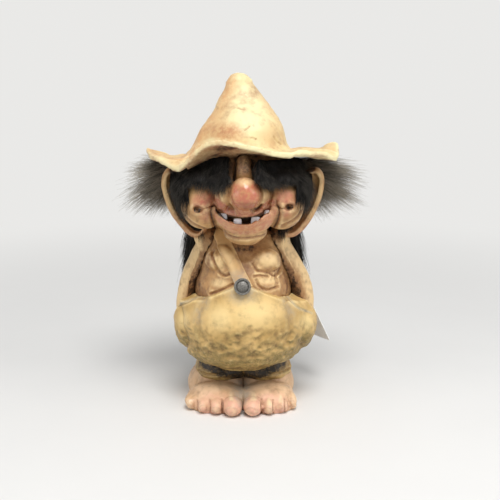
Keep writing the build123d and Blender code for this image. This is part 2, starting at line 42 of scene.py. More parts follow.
# The camera of the photograph, 12 degrees above the horizon. Places marked in the photo's frame are
# pixels of its 500 x 500 picture, and photoPlace says where a point of the figure falls in it.
view = {
    "eye": (3.85, -469.5, 183.9),
    "pitch": 12.0,
    "focal": 872.6,
    "frame": 500,
    "sensor": 36.0,
}


def photoPlace(points):
    pitch = math.radians(view["pitch"])
    x, y, z = (points - np.array(view["eye"])).T
    ahead = y * math.cos(pitch) - z * math.sin(pitch)
    up = y * math.sin(pitch) + z * math.cos(pitch)
    middle = view["frame"] / 2
    return np.stack([middle + view["focal"] * x / ahead, middle - view["focal"] * up / ahead], axis=1)


def noise(points, size, seed=0):  # smooth lumps of about that size in millimetres, from -1 to 1
    cells = 32
    table = np.random.default_rng(seed).uniform(-1, 1, (cells, cells, cells))
    turn = np.array([[0.80, 0.36, -0.48], [-0.60, 0.48, -0.64], [0.00, 0.80, 0.60]])
    place = points @ turn / size + 7.3
    low = np.floor(place).astype(int)
    share = place - low
    share = share * share * (3 - 2 * share)
    total = np.zeros(len(points))
    for corner in range(8):
        step = np.array([corner & 1, corner >> 1 & 1, corner >> 2 & 1])
        weight = np.prod(np.where(step, share, 1 - share), axis=1)
        a, b, c = ((low + step) % cells).T
        total += weight * table[a, b, c]
    return total


def smoothLine(points, steps=8):  # a Catmull-Rom curve through the points
    points = np.array(points, float)
    if len(points) < 3:
        return points
    padded = np.vstack([2 * points[0] - points[1], points, 2 * points[-1] - points[-2]])
    t = np.linspace(0, 1, steps, endpoint=False)[:, None]
    runs = []
    for a, b, c, d in zip(padded, padded[1:], padded[2:], padded[3:]):
        runs.append(b + 0.5 * t * (c - a + t * (2 * a - 5 * b + 4 * c - d + t * (3 * (b - c) + d - a))))
    return np.vstack(runs + [points[-1:]])


def lineDistance(places, line):
    best = np.full(len(places), np.inf)
    for start, end in zip(line, line[1:]):
        run = end - start
        share = np.clip(((places - start) @ run) / max(run @ run, 1e-9), 0, 1)
        best = np.minimum(best, np.linalg.norm(places - start - share[:, None] * run, axis=1))
    return best


def inside(points, outline):  # whether each point lies inside a closed outline of the photo's frame
    corners = smoothLine([*outline, outline[0]])
    u, v = points.T
    found = np.zeros(len(points), bool)
    for (u0, v0), (u1, v1) in zip(corners, corners[1:]):
        crosses = (v0 > v) != (v1 > v)
        found ^= crosses & (u < (u1 - u0) * (v - v0) / (v1 - v0 + 1e-12) + u0)
    return found.astype(float)


def ramp(values, low, high):
    share = np.clip((values - low) / (high - low), 0, 1)
    return share * share * (3 - 2 * share)


def nodeMesh(nodes):  # the CAD nodes' own triangles as one merged mesh
    shape = bmesh.new()
    for node in nodes:
        shape.from_mesh(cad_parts[node].data)
    bmesh.ops.remove_doubles(shape, verts=shape.verts, dist=1e-6)
    mesh = bpy.data.meshes.new("raw")
    shape.to_mesh(mesh)
    shape.free()
    return mesh


def addObject(name, mesh):
    piece = bpy.data.objects.new(name, mesh)
    bpy.context.scene.collection.objects.link(piece)
    return piece


def settled(piece):  # replaces the piece's live modifiers by their result
    bpy.context.view_layer.update()
    ready = piece.evaluated_get(bpy.context.evaluated_depsgraph_get())
    mesh = bpy.data.meshes.new_from_object(ready)
    piece.modifiers.clear()
    old = piece.data
    piece.data = mesh
    bpy.data.meshes.remove(old)
    return piece


def coat(mesh, material, smooth=True):  # gives a mesh its one material and its shading
    mesh.polygons.foreach_set("use_smooth", np.full(len(mesh.polygons), smooth))
    mesh.materials.clear()
    mesh.materials.append(material)


def standIn(piece, nodes, body):  # the piece is shown in place of its CAD nodes
    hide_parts(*nodes)
    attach(piece, body)
    print("made", piece.name, "with", len(piece.data.polygons), "faces")


sides = ((1, "left"), (-1, "right"))
legGap = {"shut": 3.5, "left": 0.05}  # millimetres that each leg and foot moves inwards, and what stays open


class Clay:  # a casting as arrays in millimetres, shaped by brushes and painted by marks
    def __init__(self, name, nodes, voxel, rounds=3):
        self.nodes = nodes
        self.piece = addObject(name, nodeMesh(nodes))
        remesh = self.piece.modifiers.new("remesh", "REMESH")
        remesh.mode = "VOXEL"
        remesh.voxel_size = voxel * mm
        remesh.adaptivity = 0
        settled(self.piece)
        mesh = self.piece.data
        count = len(mesh.vertices)
        self.place = np.zeros(count * 3)
        mesh.vertices.foreach_get("co", self.place)
        self.place = self.place.reshape(-1, 3) / mm
        edges = np.zeros(len(mesh.edges) * 2, int)
        mesh.edges.foreach_get("vertices", edges)
        edges = edges.reshape(-1, 2)
        ends = np.vstack([edges, edges[:, ::-1]])
        ends = ends[np.argsort(ends[:, 0], kind="stable")]
        self.neighbours = ends[:, 1]
        self.starts = np.searchsorted(ends[:, 0], np.arange(count))
        self.counts = np.bincount(ends[:, 0], minlength=count)
        # the wash and blush marks carry painted shade as well, and the pale mark carries painted highlights
        # as well
        self.marks = {key: np.zeros(count) for key in ("wash", "blush", "dust", "pale", "shine")}
        self.place = self.relaxed(self.place, rounds)
        self.refresh()

    def relaxed(self, values, rounds, strength=0.6):
        for _ in range(rounds):
            total = np.add.reduceat(values[self.neighbours], self.starts, axis=0)
            counts = self.counts if values.ndim == 1 else self.counts[:, None]
            values = values + strength * (total / counts - values)
        return values

    def refresh(self):
        mesh = self.piece.data
        mesh.vertices.foreach_set("co", (self.place * mm).ravel())
        mesh.update()
        normals = np.zeros(len(mesh.vertices) * 3)
        mesh.vertex_normals.foreach_get("vector", normals)
        self.normal = normals.reshape(-1, 3)
        self.photo = photoPlace(self.place)
        towards = np.array(view["eye"]) - self.place
        towards /= np.linalg.norm(towards, axis=1)[:, None]
        self.facing = np.sum(self.normal * towards, axis=1)

    def push(self, amount):  # moves every point along its normal, and looks again
        self.place += self.normal * np.asarray(amount)[:, None]
        self.refresh()

    def stroke(self, line, width):  # 1 on a line of the photo's frame, 0 away from it
        weight = np.exp(-((lineDistance(self.photo, smoothLine(line)) / width) ** 2))
        return weight * ramp(self.facing, 0.0, 0.25)

    def patch(self, centre, size, soft=0.35):  # 1 inside an oval of the photo's frame
        away = np.linalg.norm((self.photo - np.array(centre)) / np.array(size), axis=1)
        return (1 - ramp(away, 1 - soft, 1 + soft)) * ramp(self.facing, 0.0, 0.25)

    def area(self, outline, soft=2):  # 1 inside an outline of the photo's frame, on the side that it shows
        return self.relaxed(inside(self.photo, outline) * ramp(self.facing, 0.0, 0.2), soft)

    def strokes(self, lines, width):
        return np.max([self.stroke(line, width) for line in lines], axis=0)

    def patches(self, spots, soft, growth=1):
        return np.max([self.patch(centre, np.array(size) * growth, soft) for centre, size in spots], axis=0)

    def waves(self, *waves):  # noise of several strengths and sizes, added up
        return sum(strength * noise(self.place, size, seed) for strength, size, seed in waves)

    def mottle(self, level, swing, size, seed):  # an uneven strength around a level
        return level + swing * noise(self.place, size, seed)

    def blotches(self, low, high, *waves):
        return ramp(self.waves(*waves), low, high)

    def soften(self, share, rounds):  # smooths the surface where the share is 1
        self.place = self.place + share[:, None] * (self.relaxed(self.place, rounds) - self.place)
        self.refresh()

    def mark(self, name, values):
        self.marks[name] = np.maximum(self.marks[name], values)

    def clear(self, name, values):
        self.marks[name] = self.marks[name] * (1 - values)

    def crease(self, lines, width, depth, lip, wash):  # a groove with raised lips and a wash in it
        cut = self.strokes(lines, width)
        swell = self.strokes(lines, 2.4 * width)
        self.push(-depth * cut + lip * depth * (swell - cut))
        self.mark("wash", wash * cut)

    # Pulls what lies on one line of the photo's frame to another. Near and far are limits of y in
    # millimetres, and reach says how far round the surface is taken along: -2 takes both its faces.
    def grab(self, start, end, radius, near=-1000, far=1000, reach=-0.5):
        pitch = math.radians(view["pitch"])
        across, up = np.array([1, 0, 0]), np.array([0, math.sin(pitch), math.cos(pitch)])
        scale = (self.place[:, 1] - view["eye"][1]) / view["focal"]
        free = ramp(self.facing, reach, reach + 0.4) * (self.place[:, 1] > near) * (self.place[:, 1] < far)
        free = self.relaxed(free, 3)
        total = np.zeros(len(self.place))
        shift = np.zeros((len(self.place), 3))
        for spot, goal in zip(smoothLine(start, 4), smoothLine(end, 4)):
            weight = free * np.exp(-((np.linalg.norm(self.photo - spot, axis=1) / radius) ** 2))
            total += weight
            shift += weight[:, None] * ((goal[0] - spot[0]) * across + (spot[1] - goal[1]) * up)
        self.place = self.place + shift * (scale / np.maximum(total, 1))[:, None]
        self.refresh()

    def grabAll(self, grabs):
        for grab in grabs.values():
            self.grab(**grab)

    def pits(self, count, radius, depth, seed, where):  # sinks small round pits, and says where they are
        random = np.random.default_rng(seed)
        chances = where + 1e-6
        picks = random.choice(len(self.place), count, replace=False, p=chances / chances.sum())
        total = np.zeros(len(self.place))
        for pick, size in zip(picks, random.uniform(0.5, 1.5, count)):
            offset = self.place - self.place[pick]
            near = np.abs(offset).max(axis=1) < 3 * radius * size
            away = np.linalg.norm(offset[near], axis=1) / (radius * size)
            total[near] = np.maximum(total[near], size * np.exp(-(away**2)))
        self.push(-depth * total)
        return total

    # The wash settles in the hollows, and the ridges stay light.
    def antique(self, rounds, depth, strength=1.0, light=1.0):
        smooth = self.relaxed(self.place, rounds)
        hollow = np.sum((smooth - self.place) * self.normal, axis=1)
        self.mark("wash", strength * ramp(hollow, 0, depth))
        self.mark("pale", light * ramp(-hollow, 0.1 * depth, depth))

    def closeGap(self, side, share):  # draws the inner side of a left or right piece to the middle
        across = side * self.place[:, 0]
        self.place[:, 0] = side * np.maximum(across - legGap["shut"] * share, legGap["left"])
        self.refresh()

    def finish(self, material, body="figure"):
        self.place[:, 2] = np.maximum(self.place[:, 2], 0.02)
        self.refresh()
        mesh = self.piece.data
        for key, values in self.marks.items():
            layer = mesh.attributes.new(key, "FLOAT", "POINT")
            layer.data.foreach_set("value", np.clip(values, 0, 1).astype(np.float32))
        coat(mesh, material)
        standIn(self.piece, self.nodes, body)


# Materials

class Paint:  # short words for the nodes of one material
    def __init__(self, name):
        self.material = bpy.data.materials.new(name)
        self.material.use_nodes = True
        self.nodes = self.material.node_tree.nodes
        self.links = self.material.node_tree.links
        self.shader = self.nodes["Principled BSDF"]
        self.coordinates = self.nodes.new("ShaderNodeTexCoord").outputs["Object"]

    def mark(self, name):
        node = self.nodes.new("ShaderNodeAttribute")
        node.attribute_name = name
        return node.outputs["Fac"]

    def grain(self, scale, detail=4.0, roughness=0.55):
        node = self.nodes.new("ShaderNodeTexNoise")
        self.links.new(self.coordinates, node.inputs["Vector"])
        node.inputs["Scale"].default_value = scale
        node.inputs["Detail"].default_value = detail
        node.inputs["Roughness"].default_value = roughness
        return node.outputs["Fac"]

    def spread(self, value, low, high, toLow=0.0, toHigh=1.0):
        node = self.nodes.new("ShaderNodeMapRange")
        node.interpolation_type = "SMOOTHSTEP"
        self.links.new(value, node.inputs["Value"])
        for socket, number in (("From Min", low), ("From Max", high), ("To Min", toLow), ("To Max", toHigh)):
            node.inputs[socket].default_value = number
        return node.outputs["Result"]

    def maths(self, operation, first, second):
        node = self.nodes.new("ShaderNodeMath")
        node.operation = operation
        node.use_clamp = True
        for socket, value in zip(node.inputs, (first, second)):
            if isinstance(value, (int, float)):
                socket.default_value = value
            else:
                self.links.new(value, socket)
        return node.outputs["Value"]

    def mix(self, share, first, second):
        node = self.nodes.new("ShaderNodeMix")
        node.data_type = "RGBA"
        self.links.new(share, node.inputs["Factor"])
        for socket, value in ((node.inputs[6], first), (node.inputs[7], second)):
            if isinstance(value, tuple):
                socket.default_value = (*value, 1.0)
            else:
                self.links.new(value, socket)
        return node.outputs[2]

    def colour(self, value):
        self.links.new(value, self.shader.inputs["Base Color"])

    def rough(self, value):
        self.links.new(value, self.shader.inputs["Roughness"])

    def bump(self, value, height):
        node = self.nodes.new("ShaderNodeBump")
        node.inputs["Distance"].default_value = height
        self.links.new(value, node.inputs["Height"])
        self.links.new(node.outputs["Normal"], self.shader.inputs["Normal"])


def latexPaint(name, look):  # brushed paint over latex, with a brown wash, blush and grey dust, and with painted shade and painted highlights
    paint = Paint(name)
    patches = paint.spread(paint.grain(70, 3), 0.38, 0.66)
    specks = paint.grain(900, 5, 0.7)
    colour = paint.mix(patches, look["deep"], look["mid"])
    # lighter paint: wiped ridges, lips and nails, and painted highlights
    colour = paint.mix(paint.mark("pale"), colour, look["light"])
    broken = paint.spread(paint.grain(430, 6, 0.72), 0.36, 0.60, 0.45, 1.0)
    # blush, which on the trousers' undersides is olive painted shade
    blush = paint.maths("MULTIPLY", paint.mark("blush"), broken)
    colour = paint.mix(blush, colour, look["blush"])
    stain = paint.spread(paint.grain(190, 6, 0.65), 0.48, 0.74, 0.0, look["stains"])
    # brown wash with stains, which also carries the painted shade that the castings mark
    wash = paint.maths("ADD", paint.maths("MULTIPLY", paint.mark("wash"), broken), stain)
    colour = paint.mix(wash, colour, look["wash"])
    # near-black painted shade where the wash is strongest
    crumbled = paint.spread(paint.grain(640, 6, 0.75), 0.36, 0.62, 0.82, 1.0)
    dark = paint.spread(paint.maths("MULTIPLY", paint.mark("wash"), crumbled), 0.66, 0.90, 0.0, 0.95)
    colour = paint.mix(dark, colour, look["recessShade"])
    dust = paint.maths("MULTIPLY", paint.mark("dust"), broken)
    colour = paint.mix(dust, colour, look["dust"])
    paint.colour(colour)
    dull = paint.spread(specks, 0.3, 0.7, look["gloss"], look["dull"])
    shine = paint.mark("shine")
    paint.rough(paint.maths("MULTIPLY", dull, paint.spread(shine, 0.0, 1.0, 1.0, 0.42)))
    paint.shader.inputs["Specular IOR Level"].default_value = 0.45
    relief = paint.maths("ADD", specks, paint.grain(2600, 2))
    paint.bump(paint.maths("MULTIPLY", relief, paint.spread(shine, 0.0, 1.0, 1.0, 0.25)), look["bump"] * mm)
    return paint.material


hatLook = {
    "light": (0.85, 0.76, 0.44),
    "mid": (0.80, 0.64, 0.33),
    "deep": (0.72, 0.50, 0.24),
    "wash": (0.34, 0.13, 0.065),
    # near-black painted shade for the deepest hollows
    "recessShade": (0.06, 0.03, 0.014),
    "blush": (0.64, 0.32, 0.135),
    "dust": (0.50, 0.45, 0.36),
    "stains": 0.34,
    "gloss": 0.42,
    "dull": 0.62,
    "bump": 0.16,
}
skinLook = {
    "light": (0.84, 0.61, 0.31),
    "mid": (0.58, 0.345, 0.145),
    "deep": (0.45, 0.245, 0.095),
    "wash": (0.20, 0.085, 0.038),
    # near-black painted shade for the deepest hollows
    "recessShade": (0.020, 0.010, 0.006),
    "blush": (0.50, 0.135, 0.090),
    "dust": (0.38, 0.33, 0.27),
    "stains": 0.38,
    "gloss": 0.34,
    "dull": 0.56,
    "bump": 0.10,
}
trousersLook = {
    "light": (0.87, 0.65, 0.30),
    "mid": (0.67, 0.44, 0.165),
    "deep": (0.52, 0.325, 0.105),
    "wash": (0.135, 0.070, 0.022),
    # near-black painted shade for the deepest hollows
    "recessShade": (0.010, 0.007, 0.004),
    # olive: painted shade on the trousers' undersides, and olive patches low down
    "blush": (0.175, 0.135, 0.036),
    "dust": (0.40, 0.35, 0.27),
    "stains": 0.32,
    "gloss": 0.38,
    "dull": 0.58,
    "bump": 0.18,
}
footLook = {
    **skinLook,
    "light": (0.88, 0.68, 0.42),
    "mid": (0.80, 0.54, 0.33),
    "deep": (0.66, 0.41, 0.22),
    "blush": (0.76, 0.37, 0.28),
}
strapLook = {**skinLook, "mid": (0.66, 0.41, 0.17), "deep": (0.54, 0.31, 0.12), "stains": 0.2}


def plainMaterial(name, colour, roughness, metallic=0.0, grain=900, variation=0.25, bump=0.05, coat=0.0):
    paint = Paint(name)
    share = paint.spread(paint.grain(grain, 5), 0.3, 0.7)
    darker = tuple(channel * (1 - variation) for channel in colour)
    paint.colour(paint.mix(share, darker, colour))
    paint.rough(paint.spread(share, 0.0, 1.0, roughness + 0.1, roughness - 0.1))
    paint.shader.inputs["Metallic"].default_value = metallic
    paint.shader.inputs["Coat Weight"].default_value = coat
    paint.bump(share, bump * mm)
    return paint.material


def furMaterial(name, root, tip, start):  # hair that is dark at its root and turns to its tip's colour
    paint = Paint(name)
    reach = paint.spread(paint.mark("tip"), start, 0.8)
    uneven = paint.spread(paint.mark("share"), 0.0, 1.0, 0.35, 1.0)
    paint.colour(paint.mix(paint.maths("MULTIPLY", reach, uneven), root, tip))
    paint.shader.inputs["Roughness"].default_value = 0.6
    paint.shader.inputs["Specular IOR Level"].default_value = 0.2
    return paint.material


hatPaint = latexPaint("hat paint", hatLook)
skinPaint = latexPaint("skin paint", skinLook)
footPaint = latexPaint("foot paint", footLook)
strapPaint = latexPaint("strap paint", strapLook)
trousersPaint = latexPaint("trousers paint", trousersLook)
blackFur = furMaterial("black fur", (0.005, 0.004, 0.0035), (0.085, 0.075, 0.062), 0.35)
tippedFur = furMaterial("tipped fur", (0.012, 0.010, 0.008), (0.42, 0.37, 0.29), 0.30)


# Hat

hatShape = {
    "grid": 0.62,
    "grabs": {
        "tip": {
            "start": [(228, 86), (224.5, 93), (219, 103)],
            "end": [(226, 86), (223.2, 93), (217.5, 103)],
            "radius": 5,
        },
        "tipRight": {
            "start": [(252, 83), (254, 88), (256.5, 94), (261.5, 100.7), (270, 107.7), (277.5, 114)],
            "end": [(253.5, 83), (256.8, 88), (259.5, 94), (265, 100.7), (272.6, 107.7), (278.4, 114)],
            "radius": 5,
        },
        "rightDip": {
            "start": [(298, 147.7), (310, 146.6), (320, 145.2)],
            "end": [(298, 148.1), (310, 148.8), (319, 148.9)],
            "radius": 5,
        },
        "leftDip": {
            "start": [(155, 147.6), (165, 149), (174, 149.5), (182, 149.8)],
            "end": [(155, 151), (165, 154.6), (174, 155.8), (183, 153.8)],
            "radius": 5,
        },
        "frontRise": {
            "start": [
                (222, 149), (231, 152), (238, 155), (250, 157), (262, 159.6), (275, 161), (290, 161.2),
                (302, 159),
            ],
            "end": [
                (222, 149), (231, 151.6), (238, 153.6), (250, 153.4), (262, 155), (275, 156.6),
                (290, 157.4), (302, 157.6),
            ],
            "radius": 7, "far": 0, "reach": -2,
        },
        "rightDrop": {
            "start": [(300, 161), (312, 163.5), (325, 167.5), (335, 171)],
            "end": [(300, 157.5), (312, 158), (325, 158.5), (337, 159.5)],
            "radius": 8, "far": 30, "reach": -1.2,
        },
        "leftFlap": {
            "start": [(150, 160), (160, 171), (170.5, 178), (176, 175)],
            "end": [(151.5, 160), (163, 167), (175, 171.5), (180, 170)],
            "radius": 8, "far": 30, "reach": -1.2,
        },
    },
    "softened": [((168, 168), (16, 12)), ((312, 152), (20, 10)), ((262, 98), (9, 9))],
    "lumps": [(0.55, 11, 1), (0.22, 4, 2), (0.08, 1.6, 3)],  # height, size and seed of each wave
    "creases": {
        "width": 0.75, "depth": 0.6, "lip": 0.6, "wash": 0.6,
        "lines": [
            [(236.4, 107.3), (240.5, 108.9), (245.2, 109.4)],
            [(244, 130.5), (247, 128.8), (249.8, 126.3)],
            [(251, 138), (256, 139.3)],
            [(273.4, 136.3), (276.7, 141.3), (281.6, 144.6)],
        ],
    },
    "sideFold": (51, -3, 137.5),  # where the brim turns up on the figure's left
    "sideFoldSize": 7,
    "bruise": ((225, 132), (15, 9)),
    "tan": [(228, 80), (214, 108), (203, 124), (196, 140), (188, 152)],
    "patch": ((254, 91), (6, 7)),
    "scuff": ((278, 140), (7, 9)),
    # painted highlight on the crown, right of the middle
    "light": ((248, 112), (22, 34)),
    # painted highlight along the brim's top edge
    "rim": [
        (178, 171), (189.6, 152.9), (201.2, 143), (216, 138.8), (232.7, 141.3), (242.7, 145.4),
        (259, 151.2), (276, 155.4), (300, 157.5), (338, 159),
    ],
}


def makeHat():
    look = hatShape
    hat = Clay("hatCasting", ["hat"], look["grid"], 3)
    hat.grabAll(look["grabs"])
    for spot in look["softened"]:
        hat.soften(hat.patch(*spot, 0.6), 12)
    away = np.linalg.norm(hat.place - look["sideFold"], axis=1) / look["sideFoldSize"]
    hat.soften(np.exp(-(away**2)), 30)
    hat.push(hat.waves(*look["lumps"]))
    hat.crease(**look["creases"])
    hat.antique(rounds=40, depth=0.7, strength=0.7)
    bruise = hat.patch(*look["bruise"], 0.8)
    hat.mark("blush", 0.9 * hat.stroke(look["tan"], 11) * hat.mottle(0.85, 0.3, 5, 7))
    hat.mark("blush", 0.6 * hat.blotches(0.1, 0.7, (1, 14, 4)))
    hat.mark("blush", 0.9 * bruise)
    hat.mark("wash", 0.5 * bruise * hat.mottle(0.75, 0.35, 2.5, 5))
    hat.mark("wash", 0.45 * hat.patch(*look["scuff"], 0.8) * hat.mottle(0.7, 0.4, 2, 8))
    hat.mark("wash", 0.4 * hat.blotches(0.35, 1.1, (1, 3.2, 9), (0.7, 9, 10)))
    hat.mark("wash", 0.6 * hat.patch(*look["patch"], 0.6))
    # painted shade on the surfaces that face down, under the brim
    hat.mark("wash", ramp(-hat.normal[:, 2], 0.05, 0.6) * hat.mottle(0.72, 0.3, 6, 6))
    # painted highlight along the brim's top edge and on the crown, where the wash is cleared
    rim = hat.stroke(look["rim"], 2.0)
    hat.clear("wash", 0.8 * rim)
    hat.mark("pale", np.maximum(rim, 0.8 * hat.patch(*look["light"], 0.6)))
    hat.finish(hatPaint)


# Head

headShape = {
    "grid": 0.46,
    "grabs": {
        "noseLift": {
            "start": [(235, 210), (245, 213), (255, 210)],
            "end": [(236, 207), (245, 209.8), (254, 207)],
            "radius": 5, "far": -36,
        },
        "chinDrop": {
            "start": [(228, 234), (236, 239), (246, 241.5), (256, 239), (266, 233)],
            "end": [(228, 236.5), (236, 242.5), (246, 245.5), (256, 242.5), (266, 235.5)],
            "radius": 4.5,
        },
        "lowerLipDrop": {
            "start": [(222, 217), (232, 220.5), (244, 221.7), (256, 220.5), (266, 216.5)],
            "end": [(222, 219), (232, 223.3), (244, 224.6), (256, 223.3), (266, 218.6)],
            "radius": 2.6,
        },
        "upperLipDrop": {
            "start": [
                (219, 206), (225, 209.5), (233, 212), (243, 213), (253, 212), (262, 210), (269, 206.5),
            ],
            "end": [
                (219, 209.5), (225, 213.5), (233, 216), (243, 217), (253, 216), (262, 213.5),
                (269, 209.5),
            ],
            "radius": 2.6, "near": -38,
        },
    },
    "lumps": [(0.18, 5, 11), (0.10, 2.2, 12), (0.04, 1.2, 19)],
    "lipCrease": {
        "width": 1.3, "depth": 0.7, "lip": 0.3, "wash": 0.8,
        "lines": [
            [(224, 231), (229, 235.3), (235, 237.5), (244, 238.2), (256, 237), (264, 235), (270, 231)],
        ],
    },
    "sideFolds": {
        "width": 2.3, "depth": 1.2, "lip": 0.4, "wash": 0.72,
        "lines": [
            [(213, 204), (211, 210), (211.5, 216), (215, 226), (223, 236)],
            [(276, 202), (279, 210), (279, 215), (276, 224), (270, 233)],
        ],
    },
    "cheekFolds": {
        "width": 1.5, "depth": 0.8, "lip": 0.4, "wash": 0.7,
        "lines": [
            [(195, 208.5), (200, 209.5), (206, 208), (213, 205.5)],
            [(292, 206), (287, 208.5), (281, 208), (274, 204)],
            [(184, 215), (190, 221), (196, 225), (205, 229), (212, 231)],
            [(301, 211), (297, 217), (290, 222), (282, 226)],
        ],
    },
    "wingFolds": {
        "width": 1.5, "depth": 0.55, "lip": 0.3, "wash": 0.65,
        "lines": [
            [(231, 184), (229.6, 191), (230.5, 198), (233, 204)],
            [(259, 186), (261.3, 193), (260.5, 199), (258, 204)],
            [(219.5, 186), (218, 194), (219.5, 201)],
            [(271, 186), (272, 193), (270, 201)],
        ],
    },
    # the nostril: a groove painted with shade
    "nostrils": {
        "width": 1.4, "depth": 1.3, "lip": 0.5, "wash": 1.0,
        "lines": [[(251, 210), (256.5, 209), (262, 205)]],
    },
    "nostrilDents": {
        "width": 1.5, "depth": 0.45, "lip": 0.3, "wash": 0.55,
        "lines": [[(228, 206.5), (232, 207.5), (236, 207)]],
    },
    "cheeks": [((199, 208), (11, 13)), ((289, 205), (10, 12))],
    # pits in the cheeks, painted with shade
    "dimples": [((197.5, 210.2), (4.6, 3.2)), ((290, 207.4), (4.2, 3.0))],
    "mouth": [
        (214.6, 206.5), (221, 213), (231, 216.4), (242, 217.6), (260, 215.6), (267, 211.6), (271, 207.5),
        (269, 211), (265, 214.5), (259.5, 219), (252, 222.8), (244.7, 224.2), (233, 223), (222, 218),
        (216, 212.6),
    ],
    "upperLip": [
        (212.5, 204), (214.5, 199), (218, 198.5), (224, 203), (232, 208.5), (245, 211), (256, 208.5),
        (264, 203.5), (270, 199), (274.5, 199.5), (276, 204), (268, 211.5), (260, 215.4), (242, 217.4),
        (231, 216), (221, 213),
    ],
    "lowerLip": [
        (213, 207), (216, 211.5), (222, 217), (233, 221.8), (244.7, 223), (256, 220), (265, 213.5),
        (274, 204.5), (277, 212), (272, 223), (266, 229), (256, 233), (244, 234.6), (232, 232.5),
        (223, 227), (215, 218),
    ],
    "nose": ((245.5, 194), (15.5, 18)),
    # painted highlight on the top of the nose
    "noseLight": ((244, 181), (9, 5)),
    "noseShade": ((245, 208), (11, 5)),
    "lipPaint": {
        "upperLip": {"blush": 0.92, "wash": 0.34, "pale": 0.25}, "lowerLip": {"blush": 0.68, "pale": 0.5},
    },
    "blushLeft": [
        (191, 201), (196, 193.5), (206, 191), (217, 194), (219, 202), (213, 207), (203, 209), (194, 207),
    ],
    "blushRight": [
        (272, 198), (276, 192), (288, 190), (298, 194), (299, 201), (293, 205), (282, 206), (275, 203),
    ],
    "lowCheekBlush": [((206, 216), (6, 6)), ((286, 213), (5, 5))],
    # painted shade on the nose's bridge between the fringes
    "shadedBridge": [[(236, 160), (235.5, 170), (234, 180)], [(252, 160), (252.5, 170), (256, 182)]],
}


def makeHead():
    look = headShape
    head = Clay("headCasting", ["head"], look["grid"], 2)
    head.grabAll(look["grabs"])
    head.push(head.waves(*look["lumps"]))
    head.crease(**look["lipCrease"])
    head.crease(**look["sideFolds"])
    folds = look["sideFolds"]["lines"]
    # painted shade along the folds beside the mouth: a wide soft band and a dark core
    head.mark("wash", 0.62 * head.strokes(folds, 5.5) * head.mottle(0.9, 0.3, 1.8, 15))
    head.mark("wash", 0.95 * head.strokes(folds, 2.4))
    head.crease(**look["cheekFolds"])
    head.crease(**look["wingFolds"])
    head.push(0.8 * head.patches(look["cheeks"], 0.9))
    head.push(-1.6 * head.patches(look["dimples"], 0.7))
    # painted shade in the dimple pits, and a softer ring of it round them
    head.mark("wash", head.patches(look["dimples"], 0.45))
    head.mark("wash", 0.5 * head.patches(look["dimples"], 0.6, growth=(1.8, 1.9)))
    head.crease(**look["nostrils"])
    head.crease(**look["nostrilDents"])
    head.antique(rounds=26, depth=0.55, strength=0.75)

    lips = {lip: head.area(look[lip], 2) for lip in look["lipPaint"]}
    bothLips = np.maximum(lips["upperLip"], lips["lowerLip"])
    nose = head.patch(*look["nose"], 0.2) * ramp(-head.place[:, 1], 33, 36)
    painted = np.maximum(bothLips, nose)
    head.clear("wash", 0.75 * painted)
    head.clear("pale", painted)
    for lip, strengths in look["lipPaint"].items():
        for name, strength in strengths.items():
            head.mark(name, strength * lips[lip])
    # painted highlight on the top of the nose
    noseLight = head.patch(*look["noseLight"], 0.6) * nose
    head.mark("blush", 0.85 * nose)
    head.mark("pale", 0.9 * noseLight)
    head.clear("blush", 0.6 * noseLight)
    head.mark("wash", 0.5 * head.patch(*look["noseShade"], 0.6) * nose)
    head.mark("shine", np.maximum(nose, 0.8 * bothLips))

    blush = np.maximum(head.area(look["blushLeft"], 60), head.area(look["blushRight"], 60))
    head.mark("blush", blush * head.mottle(0.85, 0.25, 2.2, 16))
    head.mark("blush", 0.6 * head.patches(look["lowCheekBlush"], 0.7))
    # painted shade in the nostril
    head.mark("wash", head.strokes(look["nostrils"]["lines"], 1.3))
    # painted shade on the upper face, under the fringe and the brim
    shadeUnderFringe = ramp(-head.photo[:, 1], -184, -172) * ramp(head.facing, 0, 0.2)
    head.mark("wash", shadeUnderFringe * head.mottle(0.78, 0.1, 3, 13))
    # painted shade on the nose's bridge between the fringes
    head.mark("wash", head.strokes(look["shadedBridge"], 3.4))
    head.mark("wash", 0.5 * head.blotches(0.1, 0.8, (1, 4, 14)) * (1 - painted))
    head.mark("wash", 0.6 * head.blotches(0.35, 1.0, (1, 1.4, 17), (0.6, 5, 18)) * (1 - painted))
    # painted shade inside the mouth
    mouthShadow = inside(head.photo, look["mouth"]) * (head.place[:, 1] > -34) * (head.place[:, 1] < -5)
    head.mark("wash", head.relaxed(mouthShadow, 1))
    head.mark("wash", 0.5 * ramp(head.place[:, 1], 0, 8))
    head.finish(skinPaint)


# Teeth

teethShape = {  # centre (x, z), width and height of what shows over the lower lip
    "places": [
        ((-9.7, 108.0), 3.7, 3.1), ((-2.5, 105.9), 4.2, 2.7), ((6.8, 106.5), 4.9, 2.8),
        ((12.9, 109.4), 3.6, 3.0),
    ],
    "front": -32.4,
    "depth": 2.6,
    "below": 1.8,
    "bow": 0.022,  # how fast the row runs back from the middle
    "squareness": 0.45,
    "paint": {
        "name": "tooth paint", "colour": (0.90, 0.86, 0.89), "roughness": 0.22, "grain": 700,
        "variation": 0.16, "bump": 0.03,
    },
}


